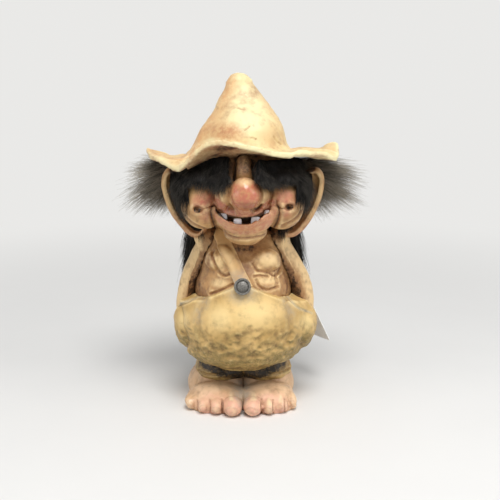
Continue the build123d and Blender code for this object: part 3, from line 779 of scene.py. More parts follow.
def roundedBlock(shape, centre, size, squareness, across=20, down=12):  # a closed block with soft edges
    def eased(value):
        return math.copysign(abs(value) ** squareness, value)

    def spot(turn, tilt):
        flat = eased(math.cos(tilt))
        way = (eased(math.cos(turn)) * flat, eased(math.sin(turn)) * flat, eased(math.sin(tilt)))
        return [(c + s * w / 2) * mm for c, s, w in zip(centre, size, way)]

    rows = []
    for row in range(1, down):
        tilt = math.pi * (row / down - 0.5)
        rows.append([shape.verts.new(spot(math.tau * i / across, tilt)) for i in range(across)])
    low, high = shape.verts.new(spot(0, -math.pi / 2)), shape.verts.new(spot(0, math.pi / 2))
    for i in range(across):
        j = (i + 1) % across
        for lower, upper in zip(rows, rows[1:]):
            shape.faces.new((lower[i], lower[j], upper[j], upper[i]))
        shape.faces.new((low, rows[0][j], rows[0][i]))
        shape.faces.new((high, rows[-1][i], rows[-1][j]))


def makeTeeth():
    look = teethShape
    shape = bmesh.new()
    for (x, z), width, height in look["places"]:
        tall = height + look["below"]
        centre = (x, look["front"] + look["bow"] * x * x + look["depth"] / 2, z + height / 2 - tall / 2)
        roundedBlock(shape, centre, (width, look["depth"], tall), look["squareness"])
    mesh = bpy.data.meshes.new("teeth")
    shape.to_mesh(mesh)
    shape.free()
    coat(mesh, plainMaterial(**look["paint"]))
    standIn(addObject("teethBlocks", mesh), ["teeth"], "figure")


# Trunk and arms

torsoShape = {
    "grid": 0.49,
    "lumps": [(0.5, 6, 21), (0.25, 2.6, 22), (0.12, 1.3, 28)],
    "breastCreases": {
        "width": 1.5, "depth": 1.0, "lip": 0.5, "wash": 0.8,
        "lines": [
            [(213.2, 250.8), (211.9, 254.9), (214.8, 264), (219.8, 272.3), (224.8, 275.2), (229, 274)],
            [
                (253, 263.2), (257, 269.9), (263, 271.5), (269.6, 273.2), (273.7, 275.7), (278.7, 272.3),
                (280.3, 268.2),
            ],
        ],
    },
    "rollCreases": {
        "width": 1.3, "depth": 0.8, "lip": 0.6, "wash": 0.65,
        "lines": [
            [(256.3, 279.8), (259.6, 286.4), (267.9, 289.8), (277.8, 286.4)],
            [(275.4, 276.5), (276.5, 280), (277, 283)],
            [(210.7, 293.9), (221.5, 289.8), (233, 284)],
            [(254, 276.5), (260, 275.5), (268, 276.5)],
        ],
    },
    "blends": [
        [(250, 242), (262, 236), (278, 240), (284, 252), (282, 262), (270, 259), (258, 262), (250, 256)],
        [(210, 240), (222, 240), (226, 250), (218, 256), (211, 252)],
    ],
    # painted highlights on the breasts and the belly rolls
    "pale": [
        ((221, 262), (4, 9)), ((268, 260), (11, 7)), ((267, 280.5), (10, 3.2)), ((220, 283), (8, 4)),
    ],
    # painted shadow under the chin
    "neck": ((245, 248.5), (18, 6.5)),
    # brown wash on the chest and shoulders, and painted shade under the chin, beside the arms and under the
    # belly roll
    "wash": [
        ((248, 264), (8, 11)), ((244, 250), (20, 9)), ((214, 239), (9, 5)), ((278, 237), (9, 5)),
        ((211, 244), (8, 7)), ((286, 246), (8, 6)), ((281, 262), (4, 12)), ((208, 262), (4, 9)),
        ((266, 288), (11, 3)),
    ],
}


def makeTorso():
    look = torsoShape
    torso = Clay("torsoCasting", ["torso"], look["grid"], 3)
    for outline in look["blends"]:
        torso.soften(torso.area(outline, 12), 120)
    torso.push(torso.waves(*look["lumps"]))
    torso.crease(**look["breastCreases"])
    torso.crease(**look["rollCreases"])
    torso.antique(rounds=30, depth=0.55, strength=0.8)
    torso.antique(rounds=5, depth=0.13, strength=0.5, light=0.25)
    # the wash patches: part brown wash, part painted shade
    torso.mark("wash", torso.patches(look["wash"], 0.8) * torso.mottle(0.66, 0.1, 1.7, 23))
    # painted shadow under the chin
    torso.mark("wash", torso.patch(*look["neck"], 0.7) * torso.mottle(0.86, 0.1, 1.5, 26))
    torso.mark("wash", 0.6 * torso.blotches(-0.1, 0.9, (1, 5, 24), (0.7, 1.6, 25)))
    # painted highlights on the breasts and the belly rolls
    pale = torso.patches(look["pale"], 0.6)
    torso.mark("pale", 0.9 * pale)
    torso.clear("wash", 0.55 * pale)
    # painted shade on the sides that face the arms
    torso.mark("wash", ramp(np.abs(torso.normal[:, 0]), 0.5, 0.98) * torso.mottle(0.80, 0.06, 1.6, 27))
    torso.mark("wash", 0.4 * ramp(torso.place[:, 1], 6, 14))
    torso.finish(skinPaint)


armShape = {
    "grid": 0.45,
    "left": {
        "start": [(295.2, 243), (302.9, 255.5), (308.6, 269.5), (313, 283), (315.6, 304)],
        "end": [(291.8, 243), (299.2, 255.5), (306.2, 269.5), (311, 283), (312.6, 304)],
        "radius": 9, "reach": -2,
    },
    "right": {
        "start": [(185, 246), (180.4, 259), (173.4, 274.6), (170.2, 291), (169.6, 304)],
        "end": [(189, 246), (186, 259), (180.6, 274.6), (177.6, 291), (176.5, 304)],
        "radius": 9, "reach": -2,
    },
}


def makeArms():
    look = armShape
    for side, hand in sides:
        arm = Clay(hand + "ArmCasting", [hand + "_arm"], look["grid"], 3)
        arm.push(arm.waves((0.25, 7, 31 + side), (0.14, 2.6, 33 + side), (0.10, 1.3, 39)))
        arm.grab(**look[hand])
        arm.antique(rounds=30, depth=0.55, strength=0.8)
        arm.antique(rounds=5, depth=0.13, strength=0.55, light=0.25)
        out, back = side * arm.normal[:, 0], arm.normal[:, 1]
        # painted shade on the inner sides, which face the body, darkest where they meet it
        arm.mark("wash", 0.70 * ramp(-out - 0.2 * back, -0.45, 0.25) * arm.mottle(0.9, 0.2, 1.7, 38))
        arm.mark("wash", ramp(-out - 0.3 * back, 0.0, 0.55) * arm.mottle(0.88, 0.14, 1.5, 35))
        arm.mark("wash", 0.45 * arm.blotches(0.1, 0.9, (1, 5, 36), (0.7, 1.6, 37)))
        arm.mark("wash", 0.55 * ramp(arm.place[:, 2], 90, 97) * ramp(-side * arm.place[:, 0], -24, -17))
        # painted highlight on the outer sides
        arm.mark("pale", 0.8 * ramp(out - 0.5 * back, 0.55, 1.0))
        arm.finish(skinPaint)


# Trousers

buttonSeat = {"x": 0.0, "z": 72.5, "radius": 7.0}


def raiseSeat(casting, rise):  # brings the casting forward to the back of the button
    away = np.hypot(casting.place[:, 0] - buttonSeat["x"], casting.place[:, 2] - buttonSeat["z"])
    front = casting.place[:, 1] < 0
    casting.place[:, 1] -= rise * front * np.exp(-((away / buttonSeat["radius"]) ** 2))
    casting.refresh()


trousersShape = {
    "grid": 0.57,
    "leftSide": {
        "start": [(170, 306), (170, 319), (172, 336), (179, 344)],
        "end": [(173.4, 306), (175.2, 319), (177.5, 336), (182, 344)],
        "radius": 8, "reach": -2,
    },
    "valleys": {
        "width": 3.0, "depth": 0.9, "lip": 0.2, "wash": 0.25,
        "lines": [
            [(205, 299), (200, 311), (197.5, 320), (199, 331), (204, 342)],
            [(286, 300), (289, 311), (291, 322), (290.5, 332), (287, 342)],
        ],
    },
    "pockets": {
        "width": 1.1, "depth": 0.45, "lip": 0.8, "wash": 0.35,
        "lines": [
            [(178, 306), (189.2, 301.6), (196.6, 296.3), (207, 292.1)],
            [(282.9, 292), (290.3, 300.5), (300.8, 309), (311.3, 313.2)],
        ],
    },
    "seatRise": 1.2,
    "waist": [
        [(233, 285), (219, 289.5), (204, 295), (191, 300), (176, 305)],
        [(251, 284), (262, 290), (283, 293), (297, 307), (312, 313)],
    ],
    "dents": [
        ((237.6, 337.4), (4, 2)), ((249.2, 328.4), (3, 2)), ((300.8, 343.2), (4, 3)),
        ((222, 350), (4, 2)), ((266, 345), (4, 2)), ((184, 333), (3, 2)), ((253, 356), (5, 2)),
        ((231, 357), (3, 2)),
    ],
    # painted highlights on the belly and the sides
    "light": [((254, 313), (22, 14)), ((221, 318), (12, 12)), ((307, 322), (7, 8)), ((183, 320), (6, 8))],
    "dustAround": ((242, 291), (15, 11)),
    "pits": {"count": 110, "radius": 0.5, "depth": 0.3, "seed": 44},
}


def makeTrousers():
    look = trousersShape
    cloth = Clay("trousersCasting", ["trousers"], look["grid"], 3)
    raiseSeat(cloth, look["seatRise"])
    low = ramp(cloth.photo[:, 1], 312, 334)
    rough = np.maximum(low, ramp(cloth.place[:, 1], -5, 5))
    cloth.grab(**look["leftSide"])
    cloth.push(cloth.waves((0.30, 9, 41)) + rough * cloth.waves((0.36, 3.6, 42), (0.22, 1.7, 43)))
    cloth.push(cloth.waves((0.08, 1.7, 46)))
    cloth.crease(**look["valleys"])
    cloth.crease(**look["pockets"])
    dents = cloth.patches(look["dents"], 0.9)
    cloth.push(-0.4 * dents)
    cloth.mark("wash", 0.5 * dents)
    pitted = cloth.pits(**look["pits"], where=rough)
    cloth.antique(rounds=30, depth=0.6, strength=0.8)
    cloth.mark("wash", 0.35 * pitted)
    cloth.mark("wash", 0.5 * low * cloth.blotches(0.15, 0.9, (1, 2.6, 47), (0.6, 6, 48)))
    # olive painted shade on the surfaces that face down
    cloth.mark("blush", 0.9 * ramp(-cloth.normal[:, 2], -0.05, 0.5))
    cloth.mark("blush", 0.5 * low * cloth.blotches(-0.2, 0.6, (1, 6, 45)))
    # painted highlights on the belly and the sides
    cloth.mark("pale", 0.8 * cloth.patches(look["light"], 0.8))
    edge = cloth.strokes(look["waist"], 1.2)
    cloth.mark("pale", edge)
    cloth.mark("dust", 0.75 * edge)
    cloth.mark("dust", 0.7 * cloth.patch(*look["dustAround"], 0.7))
    dusty = cloth.strokes(look["valleys"]["lines"], 6) * ramp(-cloth.photo[:, 1], -336, -312)
    cloth.mark("dust", 0.5 * dusty * cloth.mottle(0.8, 0.5, 2.5, 49))
    # near-black painted shade on the surfaces that face straight down
    cloth.mark("wash", ramp(-cloth.normal[:, 2], 0.7, 0.98))
    cloth.finish(trousersPaint)


legShape = {
    "grid": 0.4,
    "wrinkles": {
        "width": 1.3, "depth": 0.7, "lip": 0.7, "wash": 0.7,
        "lines": [
            [(199, 370), (206, 374), (216, 374.5), (226, 373)],
            [(202, 381), (210, 384.5), (220, 382.5), (230, 382.5)],
            [(260, 382), (270, 383), (281, 380), (289, 374)],
            [(268, 374), (279, 373), (290, 368)],
        ],
    },
}


def makeLegs():
    look = legShape
    for side, hand in sides:
        leg = Clay(hand + "LegCasting", [hand + "_trouser_leg"], look["grid"], 3)
        leg.closeGap(side, ramp(-side * leg.place[:, 0], -11, -2))
        leg.push(leg.waves((0.35, 4, 51 + side), (0.18, 2, 53 + side)))
        leg.crease(**look["wrinkles"])
        leg.antique(rounds=30, depth=0.6, strength=0.8)
        x, y, z = leg.place.T
        # painted shade high up under the belly and on the inner sides between the legs
        front = ramp(-y, -4, 8) * leg.mottle(0.95, 0.08, 2, 57)
        leg.mark("wash", front * ramp(z - 0.42 * np.abs(x), 4.5, 12.5))
        leg.mark("wash", front * ramp(-side * x, -17, -6) * ramp(z, 9, 15))
        leg.antique(rounds=5, depth=0.13, strength=0.6, light=0.25)
        leg.mark("wash", 0.62 * leg.blotches(-0.3, 0.8, (1, 3, 56), (0.3, 1.4, 58)))
        leg.mark("blush", 0.5 * leg.blotches(-0.3, 0.5, (1, 4, 55)))
        leg.finish(trousersPaint)


# Feet

footShape = {
    "grid": 0.43,
    "right": {
        "start": [(198, 362), (197, 371), (194.4, 381), (188, 393)],
        "end": [(194.5, 361), (190, 371), (187, 383), (186.6, 394)],
        "radius": 8, "reach": -2,
    },
    "left": {
        "start": [(290, 362), (290.7, 371), (292, 383), (299.6, 399)],
        "end": [(292.5, 361), (292.4, 371), (294, 383), (295.2, 399)],
        "radius": 8, "reach": -2,
    },
    "clefts": {
        "width": 0.9, "depth": 0.6, "lip": 0.3, "wash": 0.7,
        "lines": [
            [(197, 400), (197.5, 408), (197.5, 414)],
            [(209.8, 400), (210, 410), (210, 416)],
            [(222.3, 399), (222.4, 410), (222.5, 418)],
            [(261.6, 399), (261.5, 410), (261.5, 419)],
            [(273.2, 400), (273.3, 410), (273, 417)],
            [(284.6, 399), (284.8, 408), (284.5, 414)],
        ],
    },
    "nails": [
        ((191, 402), (3.0, 3.0)), ((203, 408), (3.8, 3.2)), ((216, 410), (4.0, 3.4)),
        ((231, 411.5), (6.2, 4.6)), ((251, 412), (6.8, 4.8)), ((267.5, 410.5), (4.2, 3.4)),
        ((279, 407.5), (3.8, 3.2)), ((289.5, 403.5), (3.0, 3.0)),
    ],
    # painted highlights on the feet above the toes
    "lights": [
        [(229, 400), (230.5, 391), (234, 400.5)],
        [(250, 400.5), (253, 391), (257, 400)],
        [(266, 405.5), (268.5, 397), (272, 405)],
        [(278, 403), (280.5, 394), (283, 402)],
    ],
    "dust": [(237, 380), (233, 392), (238, 403), (241.5, 409), (246, 402), (251, 392), (246, 380)],
}


def makeFeet():
    look = footShape
    for side, hand in sides:
        foot = Clay(hand + "FootCasting", [hand + "_foot"], look["grid"], 2)
        foot.grab(**look[hand])
        foot.closeGap(side, ramp(-side * foot.place[:, 0], -9, -2) * ramp(foot.place[:, 1], -27, -18))
        foot.push(foot.waves((0.22, 6, 61 + side), (0.1, 2.4, 63 + side)))
        foot.crease(**look["clefts"])
        nails = look["nails"]
        rim = foot.patches(nails, 0.25) - foot.patches(nails, 0.25, growth=0.8)
        foot.push(0.16 * foot.patches(nails, 0.4) + 0.18 * rim)
        foot.mark("wash", 0.5 * rim)
        foot.mark("pale", 0.6 * foot.patches(nails, 0.3, growth=0.75))
        foot.mark("shine", 0.8 * foot.patches(nails, 0.4))
        foot.antique(rounds=24, depth=0.5, strength=0.7)
        toes = ramp(-foot.place[:, 1], 22, 29)
        foot.mark("blush", 0.8 * toes * foot.mottle(0.8, 0.3, 4, 65))
        foot.mark("wash", 0.5 * ramp(foot.place[:, 2], 14, 20) * ramp(foot.place[:, 1], -22, -10))
        foot.mark("wash", 0.3 * foot.blotches(0.1, 0.7, (1, 5, 66)) * (1 - toes))
        # painted highlights on the feet above the toes
        for outline in look["lights"]:
            light = 0.8 * foot.area(outline, 5)
            foot.mark("pale", light)
            foot.clear("wash", light)
            foot.clear("blush", light)
        inner = ramp(-side * foot.place[:, 0], -5.5, -2) * (1 - toes)
        foot.mark("dust", 0.8 * np.maximum(foot.area(look["dust"], 25), 0.6 * inner))
        foot.finish(footPaint)


# Ears, tail and strap

earShape = {
    "grid": 0.4,
    "right": [
        (169.5, 174), (170, 188), (174, 202), (181, 215), (189, 226), (196, 231), (202, 230), (199, 221),
        (190, 205), (186, 186), (184, 171), (176, 169),
    ],
    "left": [
        (312.5, 174), (312.5, 186), (308, 200), (299, 215.5), (289, 226), (283, 230), (278, 228),
        (285, 218), (295, 204), (298, 187), (299, 171), (306, 169),
    ],
    # the ear roots, painted with shade
    "leftRoot": (308, 168.5),
    "rightRoot": (177, 171),
    "fur": {
        "strands": 2600, "radius": 0.08, "spread": 0.25, "tufts": 0.3, "droop": 0.15,
        "fall": (0, -2.2, -5.0),
    },
}


def makeEars(tree, material):
    look = earShape
    for side, hand in sides:
        ear = Clay(hand + "EarCasting", [hand + "_ear"], look["grid"], 3)
        ear.push(ear.waves((0.25, 5, 71 + side), (0.12, 2.2, 73 + side)))
        ear.antique(rounds=30, depth=0.6, strength=0.7)
        # painted shade in the ear bowl, under its fur
        bowl = ear.area(look[hand], 2) * ramp(-ear.normal[:, 1], 0.1, 0.4)
        ear.mark("wash", bowl)
        # painted shade at the ear's root
        ear.mark("wash", ear.patch(look[hand + "Root"], (9, 5), 0.3))
        ear.mark("wash", 0.5 * ear.blotches(0.1, 0.8, (1, 4, 75)))
        ear.mark("blush", 0.4 * ramp(-ear.place[:, 2], -112, -96))
        ear.finish(skinPaint)

        fuzz = addObject(hand + "EarFur", ear.piece.data.copy())
        shape = bmesh.new()
        shape.from_mesh(fuzz.data)
        shape.verts.ensure_lookup_table()
        bare = [shape.verts[i] for i in np.flatnonzero(bowl < 0.5)]
        bmesh.ops.delete(shape, geom=bare, context="VERTS")
        shape.to_mesh(fuzz.data)
        shape.free()
        x, y, z = look["fur"]["fall"]
        comb = np.tile(np.array((x - 0.8 * side, y, z)) * mm, (len(fuzz.data.vertices), 1))
        groom(fuzz, comb, {**look["fur"], "seed": 10 + side}, tree, material, False)
        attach(fuzz, "figure")


def makeTail():
    tail = Clay("tailCasting", ["tail"], 0.35, 3)
    tail.push(tail.waves((0.2, 3, 81)))
    tail.antique(rounds=30, depth=0.5)
    tail.finish(skinPaint)


strapShape = {
    "grid": 0.36,
    "seatRise": 2.8,
    "edges": [
        [(216.5, 245), (223, 258), (229, 271.5), (229.8, 275.7)],
        [(226.4, 245), (233.9, 253.3), (239.7, 262.4), (243, 272.3)],
    ],
    # painted highlight down the strap's middle
    "middle": [(222, 247), (229, 260), (234, 272)],
    "dust": ((238, 279), (9, 8)),
}


def makeStrap():
    look = strapShape
    strap = Clay("strapCasting", ["shoulder_strap"], look["grid"], 3)
    raiseSeat(strap, look["seatRise"])
    strap.push(strap.waves((0.12, 4, 91), (0.06, 1.5, 92)))
    strap.antique(rounds=26, depth=0.5, strength=0.6)
    strap.mark("wash", 0.55 * strap.strokes(look["edges"], 1.6))
    # painted highlight down the strap's middle
    strap.mark("pale", 0.6 * strap.stroke(look["middle"], 3.0))
    strap.mark("dust", 0.6 * strap.patch(*look["dust"], 0.7))
    strap.finish(strapPaint)


# Fur

furLow = 7  # hair tips stay this far above the shelf, in millimetres
sideFur = {
    "slot": "tipped_fur",
    "core": 0.42,  # the pelt's size, as a share of the whole fur's
    "out": 1.0,
    "fall": (0, 0, -2),
    "lift": 0.03,
    "strands": 7700,
    "radius": 0.09,
    "spread": 0.13,
    "tufts": 0.26,
    "droop": 0.06,
}
fringeFur = {
    "slot": "black_fur",
    "core": (0.95, 0.93, 0.82),
    "out": 0.9,
    "lift": 0.14,
    "strands": 8200,
    "radius": 0.08,
    "spread": 0.24,
    "tufts": 0.34,
    "droop": 0.1,
}
furPieces = {
    "leftSideFur": {
        **sideFur, "node": "left_side_hair", "centre": (21, 9, 129), "top": 131.8, "seed": 1,
    },
    "rightSideFur": {
        **sideFur, "node": "right_side_hair", "centre": (-24, 9, 131), "top": 132, "seed": 2,
    },
    "leftFringeFur": {
        **fringeFur, "node": "left_fringe", "centre": (17, -16, 139), "fall": (0.8, -0.6, -5.5),
        "seed": 3,
        "grabs": {
            "low": {
                "start": [(318, 236), (308, 238), (298, 236)],
                "end": [(305, 212), (299, 216), (293, 220)],
                "radius": 10, "reach": -2,
            },
            "outer": {
                "start": [(316, 216), (306, 204), (298, 200)],
                "end": [(311, 204), (300, 206), (296, 204)],
                "radius": 8, "reach": -2,
            },
            "inner": {
                "start": [(250, 160), (250, 168), (252, 177)],
                "end": [(253.5, 160), (253.5, 168), (256, 177)],
                "radius": 5, "reach": -2,
            },
        },
        "floor": [
            (236, 178), (252, 181), (260, 184), (270, 189), (283, 188), (299, 184), (302, 214),
            (320, 208),
        ],
    },
    "rightFringeFur": {
        **fringeFur, "node": "right_fringe", "centre": (-17, -16, 139), "fall": (-0.8, -0.6, -5.5),
        "seed": 4,
        "grabs": {
            "low": {
                "start": [(169, 238), (178, 240), (187, 238)],
                "end": [(182, 215), (187, 219), (192, 222)],
                "radius": 10, "reach": -2,
            },
            "outer": {
                "start": [(169, 216), (172, 208), (180, 204)],
                "end": [(177, 206), (179, 206), (183, 204)],
                "radius": 8, "reach": -2,
            },
            "inner": {
                "start": [(237, 160), (237, 168), (235, 177)],
                "end": [(233, 160), (233, 168), (231, 177)],
                "radius": 5, "reach": -2,
            },
        },
        "floor": [
            (160, 212), (184, 222), (187, 187), (200, 191), (218, 196), (226, 188), (235, 180),
            (252, 178),
        ],
    },
    "backFur": {
        "node": "back_hair", "slot": "black_fur", "centre": (0, 8, 138), "core": 0.90, "out": 0.6,
        "fall": (0, 1.0, -12), "lift": 0.04, "strands": 7300, "radius": 0.12, "spread": 0.09,
        "tufts": 0.14, "droop": 0.1, "seed": 5,
    },
    "tailTuftFur": {
        "node": "tail_tuft", "slot": "black_fur", "centre": (9, 41, 23), "core": 0.60, "out": 1.0,
        "fall": (0.6, 0, -5), "lift": 0.05, "strands": 2100, "radius": 0.10, "spread": 0.14,
        "tufts": 0.16, "droop": 0.1, "seed": 6,
    },
}


strandShape = {
    "joints": 4,
    "sides": 3,
    "shortest": 0.62,  # of the comb's length
    "longest": 1.12,
    "bow": 0.28,
    "taper": 0.8,
    "tuftSize": 260.0,
    "tuftPull": 4.0,
}


class Tree:  # short words for a Geometry Nodes tree
    def __init__(self, name):
        self.tree = bpy.data.node_groups.new(name, "GeometryNodeTree")
        self.tree.interface.new_socket(name="Geometry", in_out="INPUT", socket_type="NodeSocketGeometry")
        self.tree.interface.new_socket(name="Geometry", in_out="OUTPUT", socket_type="NodeSocketGeometry")
        self.given = self.tree.nodes.new("NodeGroupInput")
        self.result = self.tree.nodes.new("NodeGroupOutput")

    def ask(self, name, kind):
        self.tree.interface.new_socket(name=name, in_out="INPUT", socket_type="NodeSocket" + kind)

    def node(self, kind, inputs=(), **settings):
        node = self.tree.nodes.new(kind)
        for key, value in settings.items():
            setattr(node, key, value)
        for key, value in dict(inputs).items():
            socket = node.inputs[key]
            if isinstance(value, bpy.types.NodeSocket):
                self.tree.links.new(value, socket)
            else:
                socket.default_value = value
        return node

    def maths(self, operation, first, second=0.0):
        return self.node("ShaderNodeMath", {0: first, 1: second}, operation=operation).outputs[0]

    def vector(self, operation, first, second=(0, 0, 0)):
        return self.node("ShaderNodeVectorMath", {0: first, 1: second}, operation=operation).outputs[0]

    def scaled(self, value, share):
        return self.node("ShaderNodeVectorMath", {0: value, "Scale": share}, operation="SCALE").outputs[0]

    def store(self, geometry, name, value, kind, domain="POINT"):
        inputs = {"Geometry": geometry, "Name": name, "Value": value}
        return self.node("GeometryNodeStoreNamedAttribute", inputs, data_type=kind, domain=domain).outputs[0]

    def read(self, name, kind):
        return self.node("GeometryNodeInputNamedAttribute", {"Name": name}, data_type=kind).outputs[0]

    def chance(self, low, high, seed):
        inputs = {2: low, 3: high, "Seed": seed}
        return self.node("FunctionNodeRandomValue", inputs, data_type="FLOAT").outputs[1]

    def scatter(self, seed):  # a random vector from -1 to 1
        inputs = {0: (-1, -1, -1), 1: (1, 1, 1), "Seed": seed}
        return self.node("FunctionNodeRandomValue", inputs, data_type="FLOAT_VECTOR").outputs[0]

    def length(self, value):
        return self.node("ShaderNodeVectorMath", {0: value}, operation="LENGTH").outputs[1]


def makeFurTree():  # strands rooted on a pelt, each along the pelt's comb attribute
    tree = Tree("furStrands")
    for name in ("Density", "Radius", "Spread", "Tufts", "Droop", "Tuft Size"):
        tree.ask(name, "Float")
    for name, kind in (("Seed", "Int"), ("Joints", "Int"), ("Keep Pelt", "Bool"), ("Fur", "Material")):
        tree.ask(name, kind)
    given = tree.given.outputs
    spots = tree.node("GeometryNodeDistributePointsOnFaces",
                      {"Mesh": given["Geometry"], "Density": given["Density"], "Seed": given["Seed"]})
    here = tree.node("GeometryNodeInputPosition").outputs[0]
    comb = tree.read("comb", "FLOAT_VECTOR")
    longOut = tree.length(comb)
    waves = tree.node("ShaderNodeTexNoise", {"Vector": here, "Scale": given["Tuft Size"], "Detail": 1.0})
    pull = tree.maths("MULTIPLY", given["Tufts"], strandShape["tuftPull"])
    tuft = tree.scaled(tree.vector("SUBTRACT", waves.outputs["Color"], (0.5, 0.5, 0.5)), pull)
    stray = tree.scaled(tree.scatter(1), given["Spread"])
    lean = tree.scaled(tree.vector("ADD", tuft, stray), longOut)
    share = tree.chance(strandShape["shortest"], strandShape["longest"], 2)
    run = tree.vector("ADD", tree.scaled(comb, share), lean)
    bow = tree.scaled(tree.scatter(3), tree.maths("MULTIPLY", longOut, strandShape["bow"]))
    points = spots.outputs["Points"]
    for name, value in (("root", here), ("run", run), ("bow", bow)):
        points = tree.store(points, name, value, "FLOAT_VECTOR")
    points = tree.store(points, "share", tree.chance(0, 1, 4), "FLOAT")
    line = tree.node("GeometryNodeCurvePrimitiveLine", {"Start": (0, 0, 0), "End": (0, 0, 0.001)})
    strand = tree.node("GeometryNodeResampleCurve", {"Curve": line.outputs[0], "Count": given["Joints"]})
    copies = tree.node("GeometryNodeInstanceOnPoints", {"Points": points, "Instance": strand.outputs[0]})
    strands = tree.node("GeometryNodeRealizeInstances", {"Geometry": copies.outputs[0]}).outputs[0]
    along = tree.node("GeometryNodeSplineParameter").outputs["Factor"]
    strands = tree.store(strands, "tip", along, "FLOAT")
    tip = tree.read("tip", "FLOAT")
    runs = tree.read("run", "FLOAT_VECTOR")
    droop = tree.maths("MULTIPLY", tree.maths("MULTIPLY", tip, tip), given["Droop"])
    sag = tree.maths("MULTIPLY", tree.length(runs), droop)
    down = tree.node("ShaderNodeCombineXYZ", {"Z": tree.maths("MULTIPLY", sag, -1.0)}).outputs[0]
    arch = tree.maths("MULTIPLY", tip, tree.maths("SUBTRACT", 1.0, tip))
    place = tree.vector("ADD", tree.read("root", "FLOAT_VECTOR"), tree.scaled(runs, tip))
    place = tree.vector("ADD", place, tree.scaled(tree.read("bow", "FLOAT_VECTOR"), arch))
    place = tree.vector("ADD", place, down)
    strands = tree.node("GeometryNodeSetPosition", {"Geometry": strands, "Position": place}).outputs[0]
    sizes = {"Resolution": strandShape["sides"], "Radius": given["Radius"]}
    ring = tree.node("GeometryNodeCurvePrimitiveCircle", sizes).outputs[0]
    thin = tree.maths("SUBTRACT", 1.0, tree.maths("MULTIPLY", tip, strandShape["taper"]))
    tube = {"Curve": strands, "Profile Curve": ring, "Scale": thin, "Fill Caps": True}
    hair = tree.node("GeometryNodeCurveToMesh", tube)
    both = tree.node("GeometryNodeJoinGeometry")
    kept = {"Switch": given["Keep Pelt"], "True": given["Geometry"]}
    pelt = tree.node("GeometryNodeSwitch", kept, input_type="GEOMETRY")
    tree.tree.links.new(pelt.outputs[0], both.inputs[0])
    tree.tree.links.new(hair.outputs[0], both.inputs[0])
    whole = tree.node("GeometryNodeRealizeInstances", {"Geometry": both.outputs[0]}).outputs[0]
    dressed = tree.node("GeometryNodeSetMaterial", {"Geometry": whole, "Material": given["Fur"]}).outputs[0]
    tree.tree.links.new(dressed, tree.result.inputs[0])
    return tree.tree


def groom(piece, comb, look, tree, material, keepPelt):  # grows the strands and makes them one plain mesh
    mesh = piece.data
    layer = mesh.attributes.new("comb", "FLOAT_VECTOR", "POINT")
    layer.data.foreach_set("vector", comb.astype(np.float32).ravel())
    area = sum(face.area for face in mesh.polygons)
    live = piece.modifiers.new("groom", "NODES")
    live.node_group = tree
    values = {
        "Density": look["strands"] / area,
        "Radius": look["radius"] * mm,
        "Spread": look["spread"],
        "Tufts": look["tufts"],
        "Droop": look["droop"],
        "Tuft Size": strandShape["tuftSize"],
        "Seed": look["seed"],
        "Joints": strandShape["joints"],
        "Fur": material,
        "Keep Pelt": keepPelt,
    }
    for socket in tree.interface.items_tree:
        if socket.in_out == "INPUT" and socket.name in values:
            live[socket.identifier] = values[socket.name]
    settled(piece)
    mesh = piece.data
    for spare in ("root", "run", "bow", "comb"):
        mesh.attributes.remove(mesh.attributes[spare])
    mesh.polygons.foreach_set("use_smooth", np.full(len(mesh.polygons), True))


def makeFur(name, look, tree, material):
    pelt = Clay(name, [look["node"]], 0.9, 4)
    pelt.grabAll(look.get("grabs", {}))
    centre = np.array(look["centre"], float)
    if "top" in look:  # what is higher is pressed down under the brim
        over = pelt.place[:, 2] - look["top"]
        pelt.place[:, 2] = np.minimum(pelt.place[:, 2], look["top"] + 0.3 * over)
    tips = pelt.place.copy()
    pelt.place = centre + look["core"] * (tips - centre)
    pelt.refresh()
    fall = np.array(look["fall"], float)
    along = fall - pelt.normal * (pelt.normal @ fall)[:, None]
    comb = look["out"] * (tips - pelt.place) + along
    comb += look["lift"] * np.linalg.norm(comb, axis=1)[:, None] * pelt.normal
    comb[:, 2] = np.maximum(comb[:, 2], furLow - pelt.place[:, 2])
    if "floor" in look:  # the hair is cut where it would hang lower than this line of the photo's frame
        edge = np.array(look["floor"], float)
        low = photoPlace(pelt.place + comb)
        limit = np.interp(low[:, 0], edge[:, 0], edge[:, 1]) + pelt.waves((3.5, 1.3, 99))
        share = (limit - pelt.photo[:, 1]) / np.maximum(low[:, 1] - pelt.photo[:, 1], 1)
        comb *= np.clip(np.where(low[:, 1] > limit, share, 1), 0.25, 1)[:, None]
    groom(pelt.piece, comb * mm, look, tree, material, True)
    standIn(pelt.piece, [look["node"]], "figure")


# Trims and tag

trimLooks = {  # CAD nodes that stay, and their finish
    ("left_eye", "right_eye"): {
        "name": "eye glass", "colour": (0.012, 0.008, 0.006), "roughness": 0.11, "grain": 500,
        "variation": 0.3, "bump": 0.0, "coat": 0.8,
    },
    ("strap_button",): {
        "name": "worn button metal", "colour": (0.20, 0.19, 0.17), "roughness": 0.45, "metallic": 0.4,
        "grain": 1400, "variation": 0.5, "bump": 0.06,
    },
    ("neck_peg",): {
        "name": "birch peg", "colour": (0.62, 0.45, 0.28), "roughness": 0.6, "grain": 400,
        "variation": 0.2,
    },
    ("sole_pad",): {
        "name": "sole leather", "colour": (0.14, 0.085, 0.05), "roughness": 0.75, "variation": 0.35,
        "bump": 0.12,
    },
    ("tag_pin",): {
        "name": "pin nylon", "colour": (0.82, 0.82, 0.79), "roughness": 0.4, "grain": 800,
        "variation": 0.06, "bump": 0.01,
    },
}


def dressTrims():
    for nodes, look in trimLooks.items():
        material = plainMaterial(**look)
        for node in nodes:
            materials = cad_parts[node].data.materials
            materials.clear()
            materials.append(material)
        print("dressed", *nodes)


